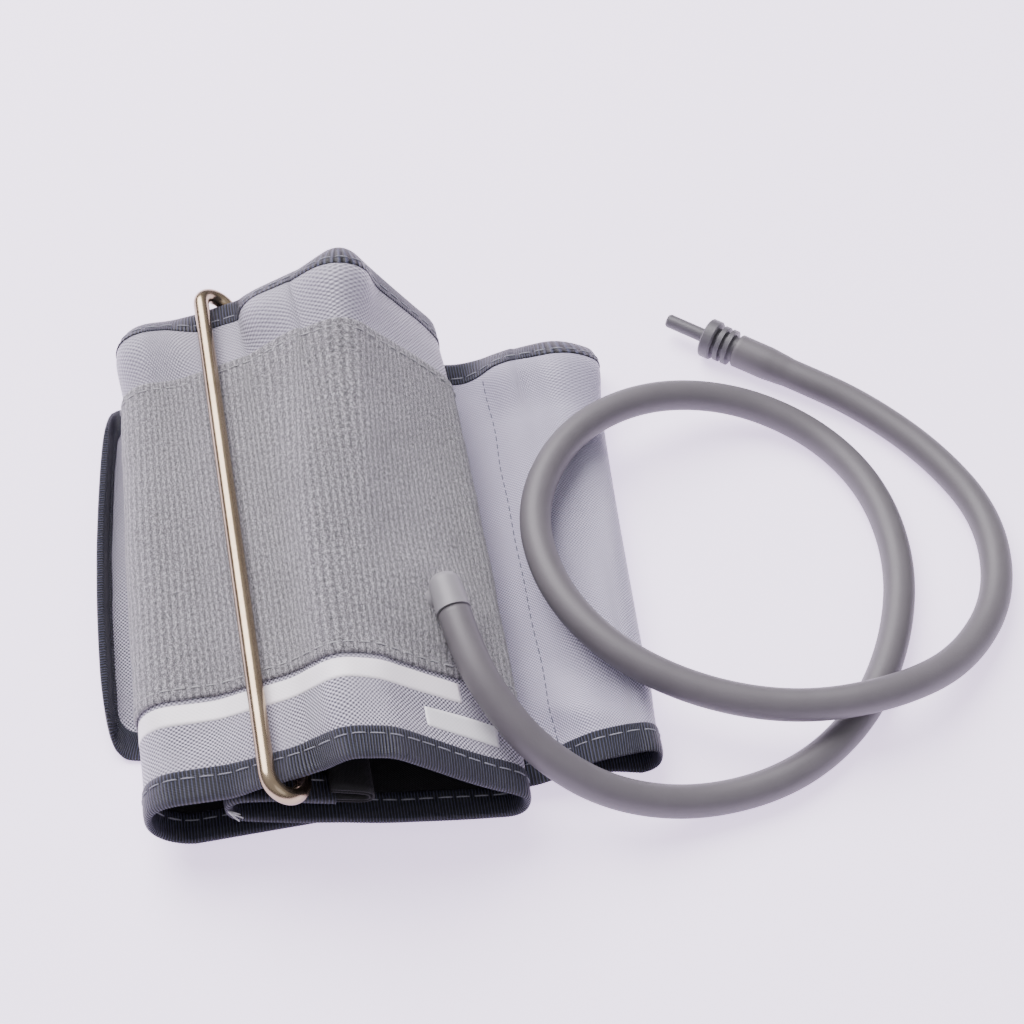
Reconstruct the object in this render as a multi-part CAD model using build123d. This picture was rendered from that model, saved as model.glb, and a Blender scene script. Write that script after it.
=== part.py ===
from build123d import *
import math
import os

# Blood pressure cuff, rolled up flat, with its metal ring, its air hose and its air plug.
# Millimetres. +Z up, X along the strip, Y along the ring. Origin under the middle of the folded cuff.
#
# The strip is one long sheet. Its section in the XZ plane is a path of straight runs and tangent arcs
# that starts beside the ring's sleeve and ends at the tail's tip. A place on the strip is given by
# s, the distance along the path, and n, the distance from it, positive to the strip's outer face.

os.makedirs("parts", exist_ok=True)

# ---- the strip's width and its edges, seen from above
BODY_WIDTH = 145.0
BODY_FRONT_Y = -74.6
EDGE_SLOPE = -0.123
FLAP_X, FLAP_FRONT_Y, FLAP_BACK_Y = 66.7, -68.5, 56.5
TIP_X, TIP_FRONT_Y, TIP_BACK_Y = -67.0, -40.5, 66.0
TAIL_CORNER_R = 15.0
REACH = 90.0
PLAN_LOW, PLAN_HEIGHT = -10.0, 80.0

# ---- layers of the strip: lowest and highest n of each
LOOP_N = (1.2, 2.2)
HOOK_N = (1.2, 1.8)
COVER_N = (0.7, 1.2)
FLANGE_N = (0.2, 0.7)
BLADDER_OUT_N = (-0.1, 0.2)
BLADDER_IN_N = (-0.4, -0.1)
LINING_N = (-1.0, -0.5)
TAIL_LINING_N = (0.2, 0.7)
PRINT_THICKNESS = 0.15
LABEL_THICKNESS = 0.25
TAPE = 0.5
TAPE_WIDTH = 7.0
THREAD = 0.4
THREAD_HEIGHT = 0.1
THREAD_INSET = 5.0
LOOP_THREAD_INSET = 3.0

# ---- the metal ring and its sleeve
WIRE_R = 2.0
BAR_SPACING = 9.8
RING_LENGTH = 156.8
RING_MIDDLE_Y = 0.9
SLEEVE_CLEARANCE = 0.08
SLEEVE_CLOTH = 1.0
SLEEVE_HALF_LENGTH = 60.0
TAB_LENGTH = 17.0
TAB_SLOPE = -17.0
NECK_START, NECK_END, NECK_TAPER = 1.2, 6.4, 0.93
SLEEVE_SEAM = (7.6, 15.0)
SLEEVE_SEAM_INSET = 3.0
INNER_BAR_N = -4.25
OUTER_BAR_N = 4.6
RING_FOOT_X = -24.9

# ---- the hose, the elbow and the plug
HOSE_D = 8.0
HOSE_BORE = 4.4
BARB_R = 2.1
ELBOW_R, ELBOW_BACK_R = 4.2, 3.8
ELBOW_LENGTH = 10.2
ELBOW_END_ROUND = 3.0
ELBOW_STEM_R = 3.0
STEM_CLEARANCE = 0.05
ELBOW_X, ELBOW_Y = 12.8, -30.5
ELBOW_TURN = 8.0
FLANGE_R = 10.0
AIRWAY_R = 1.5
PLUG_AIRWAY_R = 1.2
PLUG_TIP = Vector(95.9, 67.5, 5.5)
PLUG_HEADING = Vector(0.742, -0.670, 0.0).normalized()
PLUG_LENGTH = 21.5
BARB_LENGTH = 8.0
NOZZLE_R, NOZZLE_LENGTH = 1.9, 12.0
NOZZLE_CHAMFER = (0.5, 0.3)
PLUG_CORE_R = 3.7
COLLAR_R, COLLAR_LENGTH, COLLAR_CHAMFER = 5.5, 3.3, 0.4
RIB_R, RIB_LENGTH, RIB_PITCH, RIB_GAP = 5.0, 1.3, 2.4, 1.1
HOSE_FIRST_RUN, HOSE_LAST_RUN = 10.0, 17.0

# ---- corners of the strip's section, each (x, z, fillet radius), from the sleeve to the tail's tip
FOLD_RADIUS = 2.0
FOLD_PLACES = [(18.4, 1.55), (16.5, 5.7)]
INNER_CURL = [(-28.3, 21.0, 10.0), (-39.1, 21.6, 3.6), (-39.1, 13.8, 3.6)]
LOOP_FLOOR = [(-16.3, 10.2, 60.0), (2.7, 8.1, 60.0)]
RIGHT_TURN = [(28.1, 8.0, 4.6), (29.5, 15.8, 5.0)]
HUMP = [(0.1, 38.6, 9.0), (-10.5, 39.8, 7.0)]
RING_SLOPE = [(-20.8, 32.0, 12.0), (-39.3, 23.8, 15.0)]
LEFT_ROLL = [(-56.3, 22.0, 8.6), (-56.3, 4.3, 8.6)]
FLAP_RISE = [(34.2, 4.3, 14.0), (48.2, 10.8, 14.0)]
FLAP_ROLL = [(67.1, 12.0, 5.0), (67.1, 0.3, 5.0)]
TAIL_LIFT = [(-58.8, 0.3, 12.0)]
TAIL_END = (-69.5, 3.2)

HOSE_POINTS = [
    (22.0, -58.4, 30.0),
    (30.4, -71.3, 23.0),
    (46.4, -80.4, 12.8),
    (68.6, -82.6, 5.0),
    (92.5, -79.0, 4.0),
    (112.6, -66.0, 4.0),
    (127.0, -46.0, 4.0),
    (135.4, -22.6, 4.0),
    (135.0, 2.4, 4.0),
    (124.4, 23.2, 4.4),
    (104.4, 35.4, 8.4),
    (79.6, 34.4, 15.3),
    (57.4, 23.2, 18.2),
    (43.4, 2.4, 18.2),
    (43.0, -22.0, 18.2),
    (53.4, -43.8, 17.6),
    (72.6, -58.6, 15.2),
    (95.4, -66.4, 13.5),
    (119.2, -66.4, 13.5),
    (140.6, -56.4, 6.6),
    (156.8, -38.4, 4.0),
    (161.8, -14.4, 4.0),
    (154.2, 8.6, 4.0),
    (140.0, 29.0, 4.2),
]


class FoldedPath:
    """Straight runs joined by tangent arcs in the XZ plane, with distance along it."""

    def __init__(self, start, corners, end):
        points = [start] + [(x, z) for x, z, _ in corners] + [end]
        radii = [0.0] + [r for _, _, r in corners] + [0.0]
        headings = [
            math.atan2(b[1] - a[1], b[0] - a[0]) for a, b in zip(points, points[1:])
        ]
        turns = [0.0]
        for a, b in zip(headings, headings[1:]):
            turns.append((b - a + math.pi) % (2 * math.pi) - math.pi)
        turns.append(0.0)
        setbacks = [r * math.tan(abs(t) / 2) for r, t in zip(radii, turns)]
        self.pieces = []
        self.length = 0.0
        place, heading = start, headings[0]
        for i, h in enumerate(headings):
            run = math.dist(points[i], points[i + 1]) - setbacks[i] - setbacks[i + 1]
            if run < 0:
                raise ValueError(f"corner {i} of the section has no room for its radius")
            place, heading = self._add(place, h, run, 0.0)
            if turns[i + 1]:
                bend = math.copysign(1 / radii[i + 1], turns[i + 1])
                place, heading = self._add(place, h, radii[i + 1] * abs(turns[i + 1]), bend)

    def _add(self, place, heading, length, bend):
        self.pieces.append((self.length, length, place, heading, bend))
        self.length += length
        return self._along(place, heading, length, bend)

    @staticmethod
    def _along(place, heading, length, bend):
        x, z = place
        if not bend:
            return (x + length * math.cos(heading), z + length * math.sin(heading)), heading
        turned = heading + bend * length
        x += (math.sin(turned) - math.sin(heading)) / bend
        z -= (math.cos(turned) - math.cos(heading)) / bend
        return (x, z), turned

    def at(self, s, n=0.0):
        """The point at s and n, and the heading there in radians."""
        piece = next(p for p in reversed(self.pieces) if s >= p[0] - 1e-9)
        (x, z), heading = self._along(piece[2], piece[3], s - piece[0], piece[4])
        return (x + n * math.sin(heading), z - n * math.cos(heading)), heading

    def nearest(self, x, z):
        """The s of the path's point nearest to a point of the section."""
        steps = [self.length * i / 4000 for i in range(4001)]
        return min(steps, key=lambda s: math.dist(self.at(s)[0], (x, z)))

    def edges(self, s0, s1, n):
        """The path's offset at n, from s0 to s1, as lines and arcs."""
        found = []
        for begin, length, _, _, bend in self.pieces:
            a, b = max(s0, begin), min(s1, begin + length)
            if b - a < 1e-6:
                continue
            first, middle, last = (
                (p[0], 0, p[1]) for p in (self.at(s, n)[0] for s in (a, (a + b) / 2, b))
            )
            found.append(ThreePointArc(first, middle, last) if bend else Line(first, last))
        return found

    def slab(self, s0, s1, n0, n1):
        """The solid between two offsets, right across the strip's width."""
        lower, upper = self.edges(s0, s1, n0), self.edges(s0, s1, n1)
        caps = [Line(lower[0] @ 0, upper[0] @ 0), Line(lower[-1] @ 1, upper[-1] @ 1)]
        face = make_face(lower + upper + caps)
        return extrude(Pos(0, -REACH - 20, 0) * face, 2 * REACH + 40, dir=(0, 1, 0))


def place_inner_bar(foot, slope_top, slope_foot, n):
    """The inner bar's centre, at n from the straight slope that passes through the ring."""
    heading = math.atan2(slope_foot[1] - slope_top[1], slope_foot[0] - slope_top[0])
    z = slope_top[1] + (foot - slope_top[0]) * math.tan(heading)
    return foot + n * math.sin(heading), z - n * math.cos(heading), heading


BAR_X, BAR_Z, RING_HEADING = place_inner_bar(
    RING_FOOT_X, RING_SLOPE[0], RING_SLOPE[1], INNER_BAR_N
)
TAB_DIR = (math.cos(math.radians(TAB_SLOPE)), math.sin(math.radians(TAB_SLOPE)))


def beside_tab(along, below):
    """A point of the section, along the sleeve's tab and below its middle."""
    x = BAR_X + along * TAB_DIR[0] + below * TAB_DIR[1]
    return x, BAR_Z + along * TAB_DIR[1] - below * TAB_DIR[0]


STRIP_START = beside_tab(6.8, 1.55)
FIRST_FOLD = [(*beside_tab(*place), FOLD_RADIUS) for place in FOLD_PLACES]
PATH = FoldedPath(
    STRIP_START,
    FIRST_FOLD + INNER_CURL + LOOP_FLOOR + RIGHT_TURN + HUMP + RING_SLOPE + LEFT_ROLL
    + FLAP_RISE + FLAP_ROLL + TAIL_LIFT,
    TAIL_END,
)

# ---- stations along the strip
ROLL_BOTTOM_S = PATH.nearest(LEFT_ROLL[1][0] + LEFT_ROLL[1][2] + 0.5, LEFT_ROLL[1][1])
FLAP_BOTTOM_S = PATH.nearest(FLAP_ROLL[1][0] - FLAP_ROLL[1][2] - 0.5, FLAP_ROLL[1][1])
FOLD_END_S = PATH.nearest(-16.0, 17.6)
LINING_END_S = PATH.nearest(24.0, 4.3)
TAIL_LINING_START_S = LINING_END_S + 1.0
POCKET_SEAM_S = PATH.nearest(39.5, 6.5)
LOOP_START_S = PATH.nearest(31.0, 11.0)
LOOP_END_S = PATH.nearest(-8.0, 4.3)
HOOK_START_S = PATH.nearest(-4.0, 0.3)
HOOK_END_S = PATH.nearest(-52.0, 0.3)
TAIL_BINDING_S = PATH.nearest(-46.0, 0.3)
STRIPE_START_S = PATH.nearest(17.0, 25.5)
LABEL_S = (PATH.nearest(24.0, 20.0), PATH.nearest(8.5, 32.1))
BLADDER_S = (PATH.nearest(-14.0, 10.0), PATH.nearest(-12.0, 4.3))
BLADDER_INSET = 12.5
LOOP_INSET = (26.0, 21.0)
HOOK_INSET = (16.0, 16.0)
STRIPE_INSET = (19.4, 24.6)
LABEL_INSET = (10.5, 15.8)


# ---- edges of the strip seen from above: three zones, each with a front and a back line
def line_through(x0, y0, x1, y1):
    slope = (y1 - y0) / (x1 - x0)
    stretch = math.hypot(1, slope)
    return lambda x, inset: y0 + (x - x0) * slope + inset * stretch


def body_edge(x):
    return BODY_FRONT_Y + EDGE_SLOPE * x


ROLL_X = LEFT_ROLL[1][0] + LEFT_ROLL[1][2] + 0.5
TURN_X = FLAP_ROLL[1][0] - FLAP_ROLL[1][2] - 0.5
ROLL_Y = body_edge(ROLL_X)
UNDER_FRONT = line_through(ROLL_X, ROLL_Y, FLAP_X, FLAP_FRONT_Y)
UNDER_BACK = line_through(ROLL_X, ROLL_Y + BODY_WIDTH, FLAP_X, FLAP_BACK_Y)
BODY_FRONT = line_through(0, BODY_FRONT_Y, 1, BODY_FRONT_Y + EDGE_SLOPE)
BODY_BACK = line_through(
    0, BODY_FRONT_Y + BODY_WIDTH, 1, BODY_FRONT_Y + BODY_WIDTH + EDGE_SLOPE
)
TAIL_FRONT = line_through(TURN_X, UNDER_FRONT(TURN_X, 0), TIP_X, TIP_FRONT_Y)
TAIL_BACK = line_through(TURN_X, UNDER_BACK(TURN_X, 0), TIP_X, TIP_BACK_Y)
ZONES = [
    (0.0, ROLL_BOTTOM_S, BODY_FRONT, BODY_BACK),
    (ROLL_BOTTOM_S, FLAP_BOTTOM_S, UNDER_FRONT, UNDER_BACK),
    (FLAP_BOTTOM_S, PATH.length, TAIL_FRONT, TAIL_BACK),
]


def prism(face):
    """A face of the plan, extruded right through the cuff's height."""
    return Pos(0, 0, PLAN_LOW) * extrude(face, PLAN_HEIGHT, dir=(0, 0, 1))


def outline(zone, low, high):
    """A prism of a zone's plan between low and high, each a line of the zone and an inset."""
    left = TIP_X if zone == 2 else -REACH
    (low_line, low_inset), (high_line, high_inset) = low, high
    points = [
        (left, low_line(left, low_inset)),
        (REACH, low_line(REACH, low_inset)),
        (REACH, high_line(REACH, high_inset)),
        (left, high_line(left, high_inset)),
    ]
    return prism(make_face(Polyline(*points, close=True)))


def tail_outline(inset):
    """The tail's plan, with its two rounded corners, set in from its edges."""
    left = TIP_X + inset
    points = [
        (REACH, TAIL_FRONT(REACH, inset)),
        (left, TAIL_FRONT(left, inset)),
        (left, TAIL_BACK(left, -inset)),
        (REACH, TAIL_BACK(REACH, -inset)),
    ]
    path = FilletPolyline(*points, radius=TAIL_CORNER_R - inset)
    return prism(make_face(path.edges() + [Line(points[0], points[-1])]))


def joined(solids):
    whole = solids[0]
    for solid in solids[1:]:
        whole = whole + solid
    return whole


def strip(s0, s1, layer, insets=(0.0, 0.0)):
    """A layer of the strip from s0 to s1, set in from the front and back edges."""
    solids = []
    for zone, (begin, end, front, back) in enumerate(ZONES):
        a, b = max(s0, begin), min(s1, end)
        if b - a < 1e-6:
            continue
        slab = PATH.slab(a, b, *layer)
        if zone == 2 and s1 >= PATH.length:
            solids.append(slab & tail_outline(insets[0]))
        else:
            solids.append(slab & outline(zone, (front, insets[0]), (back, -insets[1])))
    return joined(solids)


def along_front(s0, s1, layer, near, far):
    """A band of a layer, near and far from the strip's front edge."""
    solids = []
    for zone, (begin, end, front, _) in enumerate(ZONES):
        a, b = max(s0, begin), min(s1, end)
        if b - a > 1e-6:
            solids.append(PATH.slab(a, b, *layer) & outline(zone, (front, near), (front, far)))
    return joined(solids)


def along_back(s0, s1, layer, near, far):
    """A band of a layer, near and far from the strip's back edge."""
    solids = []
    for zone, (begin, end, _, back) in enumerate(ZONES):
        a, b = max(s0, begin), min(s1, end)
        if b - a > 1e-6:
            solids.append(PATH.slab(a, b, *layer) & outline(zone, (back, -far), (back, -near)))
    return joined(solids)


# ---- cloth layers
def make_outer_cover():
    cover = strip(0, PATH.length, COVER_N)
    return cover - stem_hole()


def make_loop_panel():
    return strip(LOOP_START_S, LOOP_END_S, LOOP_N, LOOP_INSET) - stem_hole()


def make_hook_panel():
    return strip(HOOK_START_S, HOOK_END_S, HOOK_N, HOOK_INSET)


def make_bladder_sheet(layer, airway):
    return strip(*BLADDER_S, layer, (BLADDER_INSET, BLADDER_INSET)) - airway


# ---- binding tape: a U round each raw edge
THICK_IN, THIN_IN = LINING_N[0] - TAPE, TAIL_LINING_N[0] - TAPE
TAPE_OUT = COVER_N[1] + TAPE


def tape(band):
    """A U of tape: band(s0, s1, layer, near, far) cuts its legs and its web from the strip."""
    stretches = [
        (FOLD_END_S, LINING_END_S, THICK_IN, LINING_N[0]),
        (LINING_END_S, TAIL_BINDING_S, THIN_IN, TAIL_LINING_N[0]),
    ]
    solids = []
    for s0, s1, low, inner_face in stretches:
        solids.append(band(s0, s1, (COVER_N[1], TAPE_OUT), -TAPE, TAPE_WIDTH))
        solids.append(band(s0, s1, (low, inner_face), -TAPE, TAPE_WIDTH))
        solids.append(band(s0, s1, (low, TAPE_OUT), -TAPE, 0))
    return joined(solids)


def make_tail_binding():
    slab = PATH.slab(TAIL_BINDING_S, PATH.length, THIN_IN, TAPE_OUT)
    core = PATH.slab(TAIL_BINDING_S, PATH.length, TAIL_LINING_N[0], COVER_N[1])
    return slab & tail_outline(-TAPE) - tail_outline(TAPE_WIDTH) - (core & tail_outline(0))


# ---- threads: a flat line on the outer face for each row of stitches
def thread_along(band, s0, s1, face_n, inset):
    layer = (face_n, face_n + THREAD_HEIGHT)
    return band(s0, s1, layer, inset - THREAD / 2, inset + THREAD / 2)


def edge_thread(band):
    return thread_along(band, FOLD_END_S, TAIL_BINDING_S, TAPE_OUT, THREAD_INSET)


def loop_thread(band, panel_inset):
    inset = panel_inset + LOOP_THREAD_INSET
    return thread_along(band, LOOP_START_S + 1, ROLL_BOTTOM_S, LOOP_N[1], inset)


def make_pocket_seam_thread():
    layer = (TAIL_LINING_N[0] - THREAD_HEIGHT, TAIL_LINING_N[0])
    half = THREAD / 2
    return strip(POCKET_SEAM_S - half, POCKET_SEAM_S + half, layer, (TAPE_WIDTH + 1,) * 2)


def make_sleeve_thread():
    """The box of stitches on the sleeve's tab."""
    near, far = SLEEVE_SEAM
    half = SLEEVE_HALF_LENGTH - SLEEVE_SEAM_INSET
    bars = [(near, -half, near + THREAD, half), (far, -half, far + THREAD, half)]
    bars += [(near, y, far + THREAD, y + THREAD) for y in (-half, half - THREAD)]
    foot = -SLEEVE_CLOTH / 2
    solids = []
    for a0, y0, a1, y1 in bars:
        corners = [(a0, foot - THREAD_HEIGHT), (a1, foot - THREAD_HEIGHT), (a1, foot), (a0, foot)]
        section = [(x, RING_MIDDLE_Y + y0, z) for x, z in (beside_tab(*c) for c in corners)]
        face = make_face(Polyline(*section, close=True))
        solids.append(extrude(face, y1 - y0, dir=(0, 1, 0)))
    return joined(solids)


# ---- ring and sleeve
def make_ring():
    """Two straight bars and two half-round bends of one wire."""
    outer_x, outer_z = outer_bar()
    across = Vector(outer_x - BAR_X, 0, outer_z - BAR_Z)
    middle = Vector((outer_x + BAR_X) / 2, RING_MIDDLE_Y, (outer_z + BAR_Z) / 2)
    half = RING_LENGTH / 2 - WIRE_R - BAR_SPACING / 2
    plane = Plane(origin=middle, x_dir=(0, 1, 0), z_dir=Vector(0, 1, 0).cross(across))
    radius = BAR_SPACING / 2
    bars = [
        extrude(Plane(origin=(-half, side * radius, 0), z_dir=(1, 0, 0)) * Circle(WIRE_R), 2 * half)
        for side in (-1, 1)
    ]
    bends = []
    for side in (-1, 1):
        bend = Plane(origin=(side * half, -radius, 0), z_dir=(1, 0, 0)) * Circle(WIRE_R)
        axis = Axis((side * half, 0, 0), (0, 0, side))
        bends.append(revolve(bend, axis, 180))
    return plane.location * joined(bars + bends)


def outer_bar():
    """The outer bar's centre: it leans down the slope until it all but rests on the panel."""
    drop = OUTER_BAR_N - INNER_BAR_N
    lean = math.sqrt(BAR_SPACING**2 - drop**2)
    x = BAR_X + drop * math.sin(RING_HEADING) + lean * math.cos(RING_HEADING)
    return x, BAR_Z - drop * math.cos(RING_HEADING) + lean * math.sin(RING_HEADING)


def make_sleeve():
    """Cloth round the inner bar, its two plies sewn together as a tab."""
    hole_r = WIRE_R + SLEEVE_CLEARANCE
    outer_r = hole_r + SLEEVE_CLOTH
    half = SLEEVE_CLOTH / 2
    tab = [(0, -half), (TAB_LENGTH, -half), (TAB_LENGTH, half), (0, half)]
    shoulder = outer_r * NECK_TAPER
    neck = [(NECK_START, -shoulder), (NECK_END, -half), (NECK_END, half), (NECK_START, shoulder)]
    bar = Pos(BAR_X, BAR_Z)
    face = bar * Circle(outer_r)
    for corners in (tab, neck):
        face = face + make_face(Polyline(*[beside_tab(*c) for c in corners], close=True))
    face = face - bar * Circle(hole_r)
    end_y = RING_MIDDLE_Y + SLEEVE_HALF_LENGTH
    end_plane = Plane(origin=(0, end_y, 0), x_dir=(1, 0, 0), z_dir=(0, -1, 0))
    return extrude(end_plane * face, 2 * SLEEVE_HALF_LENGTH)


# ---- the port: a flange on the bladder, and an elbow that leads the hose along the cover
def flank_frame():
    """The plane of the hump's right side at the elbow's stem: x down the slope, z outward."""
    s = PATH.nearest(ELBOW_X, HUMP[0][1] + (ELBOW_X - HUMP[0][0]) * FLANK_SLOPE)
    (x, z), heading = PATH.at(s)
    down = (-math.cos(heading), 0, -math.sin(heading))
    return Plane(origin=(x, ELBOW_Y, z), x_dir=down, z_dir=(math.sin(heading), 0, -math.cos(heading)))


FLANK_SLOPE = (RIGHT_TURN[1][1] - HUMP[0][1]) / (RIGHT_TURN[1][0] - HUMP[0][0])
FLANK = flank_frame()
ELBOW_AXIS_N = LOOP_N[1] + ELBOW_R + 0.1


def upright(radius, foot, length):
    """A cylinder along Z that stands on a height."""
    low = (Align.CENTER, Align.CENTER, Align.MIN)
    return Pos(0, 0, foot) * Cylinder(radius, length, align=low)


def stem_hole():
    """The hole for the elbow's stem, through the cover and the loop panel."""
    return FLANK * upright(ELBOW_STEM_R + STEM_CLEARANCE, FLANGE_N[0], 2 * LOOP_N[1])


def airway():
    """The way for air through the bladder's outer sheet and the flange."""
    return FLANK * upright(AIRWAY_R, -LOOP_N[1], 2 * LOOP_N[1])


def elbow_line():
    """The elbow's axis on the flank: towards the front, turned a little down the slope."""
    angle = math.radians(ELBOW_TURN - 90)
    return Plane(
        origin=(0, 0, ELBOW_AXIS_N), x_dir=(0, 0, 1), z_dir=(math.cos(angle), math.sin(angle), 0)
    )


def make_port_flange():
    return FLANK * upright(FLANGE_R, FLANGE_N[0], FLANGE_N[1] - FLANGE_N[0]) - airway()


def make_port_elbow():
    """A stem from the flange, a round-ended body across it and a barb inside the hose."""
    low = (Align.CENTER, Align.CENTER, Align.MIN)
    body = Pos(0, 0, -ELBOW_R) * Cone(ELBOW_BACK_R, ELBOW_R, ELBOW_LENGTH, align=low)
    body = fillet(body.edges().group_by(Axis.Z)[0], ELBOW_END_ROUND)
    mouth = ELBOW_LENGTH - ELBOW_R
    body = body + upright(BARB_R, mouth, BARB_LENGTH) - upright(AIRWAY_R, 0, mouth + BARB_LENGTH)
    stem = upright(ELBOW_STEM_R, FLANGE_N[1], ELBOW_AXIS_N - FLANGE_N[1])
    return FLANK * (elbow_line() * body + stem - upright(AIRWAY_R, 0, ELBOW_AXIS_N))


def hose_route():
    """Points of the hose's line, from the elbow's mouth to the plug."""
    mouth = ELBOW_LENGTH - ELBOW_R
    start, first = (
        FLANK.from_local_coords(elbow_line().from_local_coords(Vector(0, 0, along)))
        for along in (mouth, mouth + HOSE_FIRST_RUN)
    )
    end = PLUG_TIP + PLUG_HEADING * PLUG_LENGTH
    last = end + PLUG_HEADING * HOSE_LAST_RUN
    return [start, first] + [Vector(*p) for p in HOSE_POINTS] + [last, end]


def hose_radii(points):
    radii = []
    for a, b, c in zip(points, points[1:], points[2:]):
        turn = math.radians((b - a).get_angle(c - b))
        radii.append(0.45 * min((b - a).length, (c - b).length) / math.tan(turn / 2))
    return radii


def make_hose(points):
    radii = hose_radii(points)
    path = FilletPolyline(*points, radius=radii)
    section = Plane(origin=points[0], z_dir=points[1] - points[0])
    tube = sweep(section * (Circle(HOSE_D / 2) - Circle(HOSE_BORE / 2)), path=path)
    area = math.pi * (HOSE_D**2 - HOSE_BORE**2) / 4
    print("hose length", round(path.length, 1), "volume / (section x length)",
          round(tube.volume / (area * path.length), 4))
    for i, (a, b, r) in enumerate(zip(points, points[1:], radii)):
        print(f"  point {i + 1}: run {(b - a).length:.1f} radius {r:.1f}",
              f"at ({b.X:.1f}, {b.Y:.1f}, {b.Z:.1f})")
    return tube


def make_plug():
    """The air plug, turned about its own axis: nozzle, thick collar, two thin ribs and a barb."""
    tip_length, tip_depth = NOZZLE_CHAMFER
    edge = COLLAR_CHAMFER
    collar_end = NOZZLE_LENGTH + COLLAR_LENGTH
    profile = [
        (PLUG_AIRWAY_R, 0),
        (NOZZLE_R - tip_depth, 0),
        (NOZZLE_R, tip_length),
        (NOZZLE_R, NOZZLE_LENGTH),
        (COLLAR_R - edge, NOZZLE_LENGTH),
        (COLLAR_R, NOZZLE_LENGTH + edge),
        (COLLAR_R, collar_end - edge),
        (COLLAR_R - edge, collar_end),
        (PLUG_CORE_R, collar_end),
    ]
    for k in range(2):
        rib = collar_end + RIB_GAP + k * RIB_PITCH
        profile += [(PLUG_CORE_R, rib), (RIB_R, rib)]
        profile += [(RIB_R, rib + RIB_LENGTH), (PLUG_CORE_R, rib + RIB_LENGTH)]
    barb_end = PLUG_LENGTH + BARB_LENGTH
    profile += [(PLUG_CORE_R, PLUG_LENGTH), (BARB_R, PLUG_LENGTH)]
    profile += [(BARB_R, barb_end), (PLUG_AIRWAY_R, barb_end)]
    face = make_face(Polyline(*[(r, 0, z) for r, z in profile], close=True))
    return Plane(origin=PLUG_TIP, z_dir=PLUG_HEADING) * revolve(face, Axis.Z, 360)


def main():
    route = hose_route()
    parts = {
        "outer_cover": make_outer_cover(),
        "inner_lining": strip(0, LINING_END_S, LINING_N),
        "tail_lining": strip(TAIL_LINING_START_S, PATH.length, TAIL_LINING_N),
        "loop_panel": make_loop_panel(),
        "hook_panel": make_hook_panel(),
        "front_binding": tape(along_front),
        "rear_binding": tape(along_back),
        "tail_binding": make_tail_binding(),
        "range_stripe": along_front(
            STRIPE_START_S, ROLL_BOTTOM_S, (COVER_N[1], COVER_N[1] + PRINT_THICKNESS), *STRIPE_INSET
        ),
        "index_label": along_front(
            *LABEL_S, (COVER_N[1], COVER_N[1] + LABEL_THICKNESS), *LABEL_INSET
        ),
        "bladder_outer_sheet": make_bladder_sheet(BLADDER_OUT_N, airway()),
        "bladder_inner_sheet": strip(*BLADDER_S, BLADDER_IN_N, (BLADDER_INSET, BLADDER_INSET)),
        "port_flange": make_port_flange(),
        "port_elbow": make_port_elbow(),
        "air_hose": make_hose(route),
        "air_plug": make_plug(),
        "ring_sleeve": make_sleeve(),
        "metal_ring": make_ring(),
        "front_binding_thread": edge_thread(along_front),
        "rear_binding_thread": edge_thread(along_back),
        "loop_front_thread": loop_thread(along_front, LOOP_INSET[0]),
        "loop_rear_thread": loop_thread(along_back, LOOP_INSET[1]),
        "pocket_seam_thread": make_pocket_seam_thread(),
        "sleeve_thread": make_sleeve_thread(),
    }
    low, high = [1e9] * 3, [-1e9] * 3
    for name, solid in parts.items():
        export_step(solid, f"parts/{name}.step")
        if name in ("air_hose", "air_plug"):
            continue
        box = solid.bounding_box()
        low = [min(a, b) for a, b in zip(low, box.min)]
        high = [max(a, b) for a, b in zip(high, box.max)]
    print("box without the hose", [round(v, 2) for v in low], [round(v, 2) for v in high])
    print("strip length", round(PATH.length, 1))


main()
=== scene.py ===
"""The looks of the rolled blood pressure cuff: cloth, tape, stitches, hose, plug, ring and a plain set."""

import math

import bmesh
import bpy
import numpy as np
from mathutils import Matrix, Vector


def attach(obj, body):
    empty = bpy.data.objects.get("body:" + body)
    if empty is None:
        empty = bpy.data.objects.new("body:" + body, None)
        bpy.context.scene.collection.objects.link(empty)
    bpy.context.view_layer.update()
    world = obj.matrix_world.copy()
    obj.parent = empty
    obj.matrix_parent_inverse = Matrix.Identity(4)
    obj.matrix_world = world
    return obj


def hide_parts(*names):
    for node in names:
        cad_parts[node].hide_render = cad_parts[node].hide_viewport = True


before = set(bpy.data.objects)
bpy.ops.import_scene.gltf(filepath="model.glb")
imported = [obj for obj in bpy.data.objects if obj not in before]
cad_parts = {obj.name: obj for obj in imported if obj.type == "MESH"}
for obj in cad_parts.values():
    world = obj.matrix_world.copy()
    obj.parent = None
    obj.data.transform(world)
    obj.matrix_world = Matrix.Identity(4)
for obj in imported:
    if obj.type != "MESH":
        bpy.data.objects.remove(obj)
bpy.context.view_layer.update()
MM = 0.001

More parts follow.
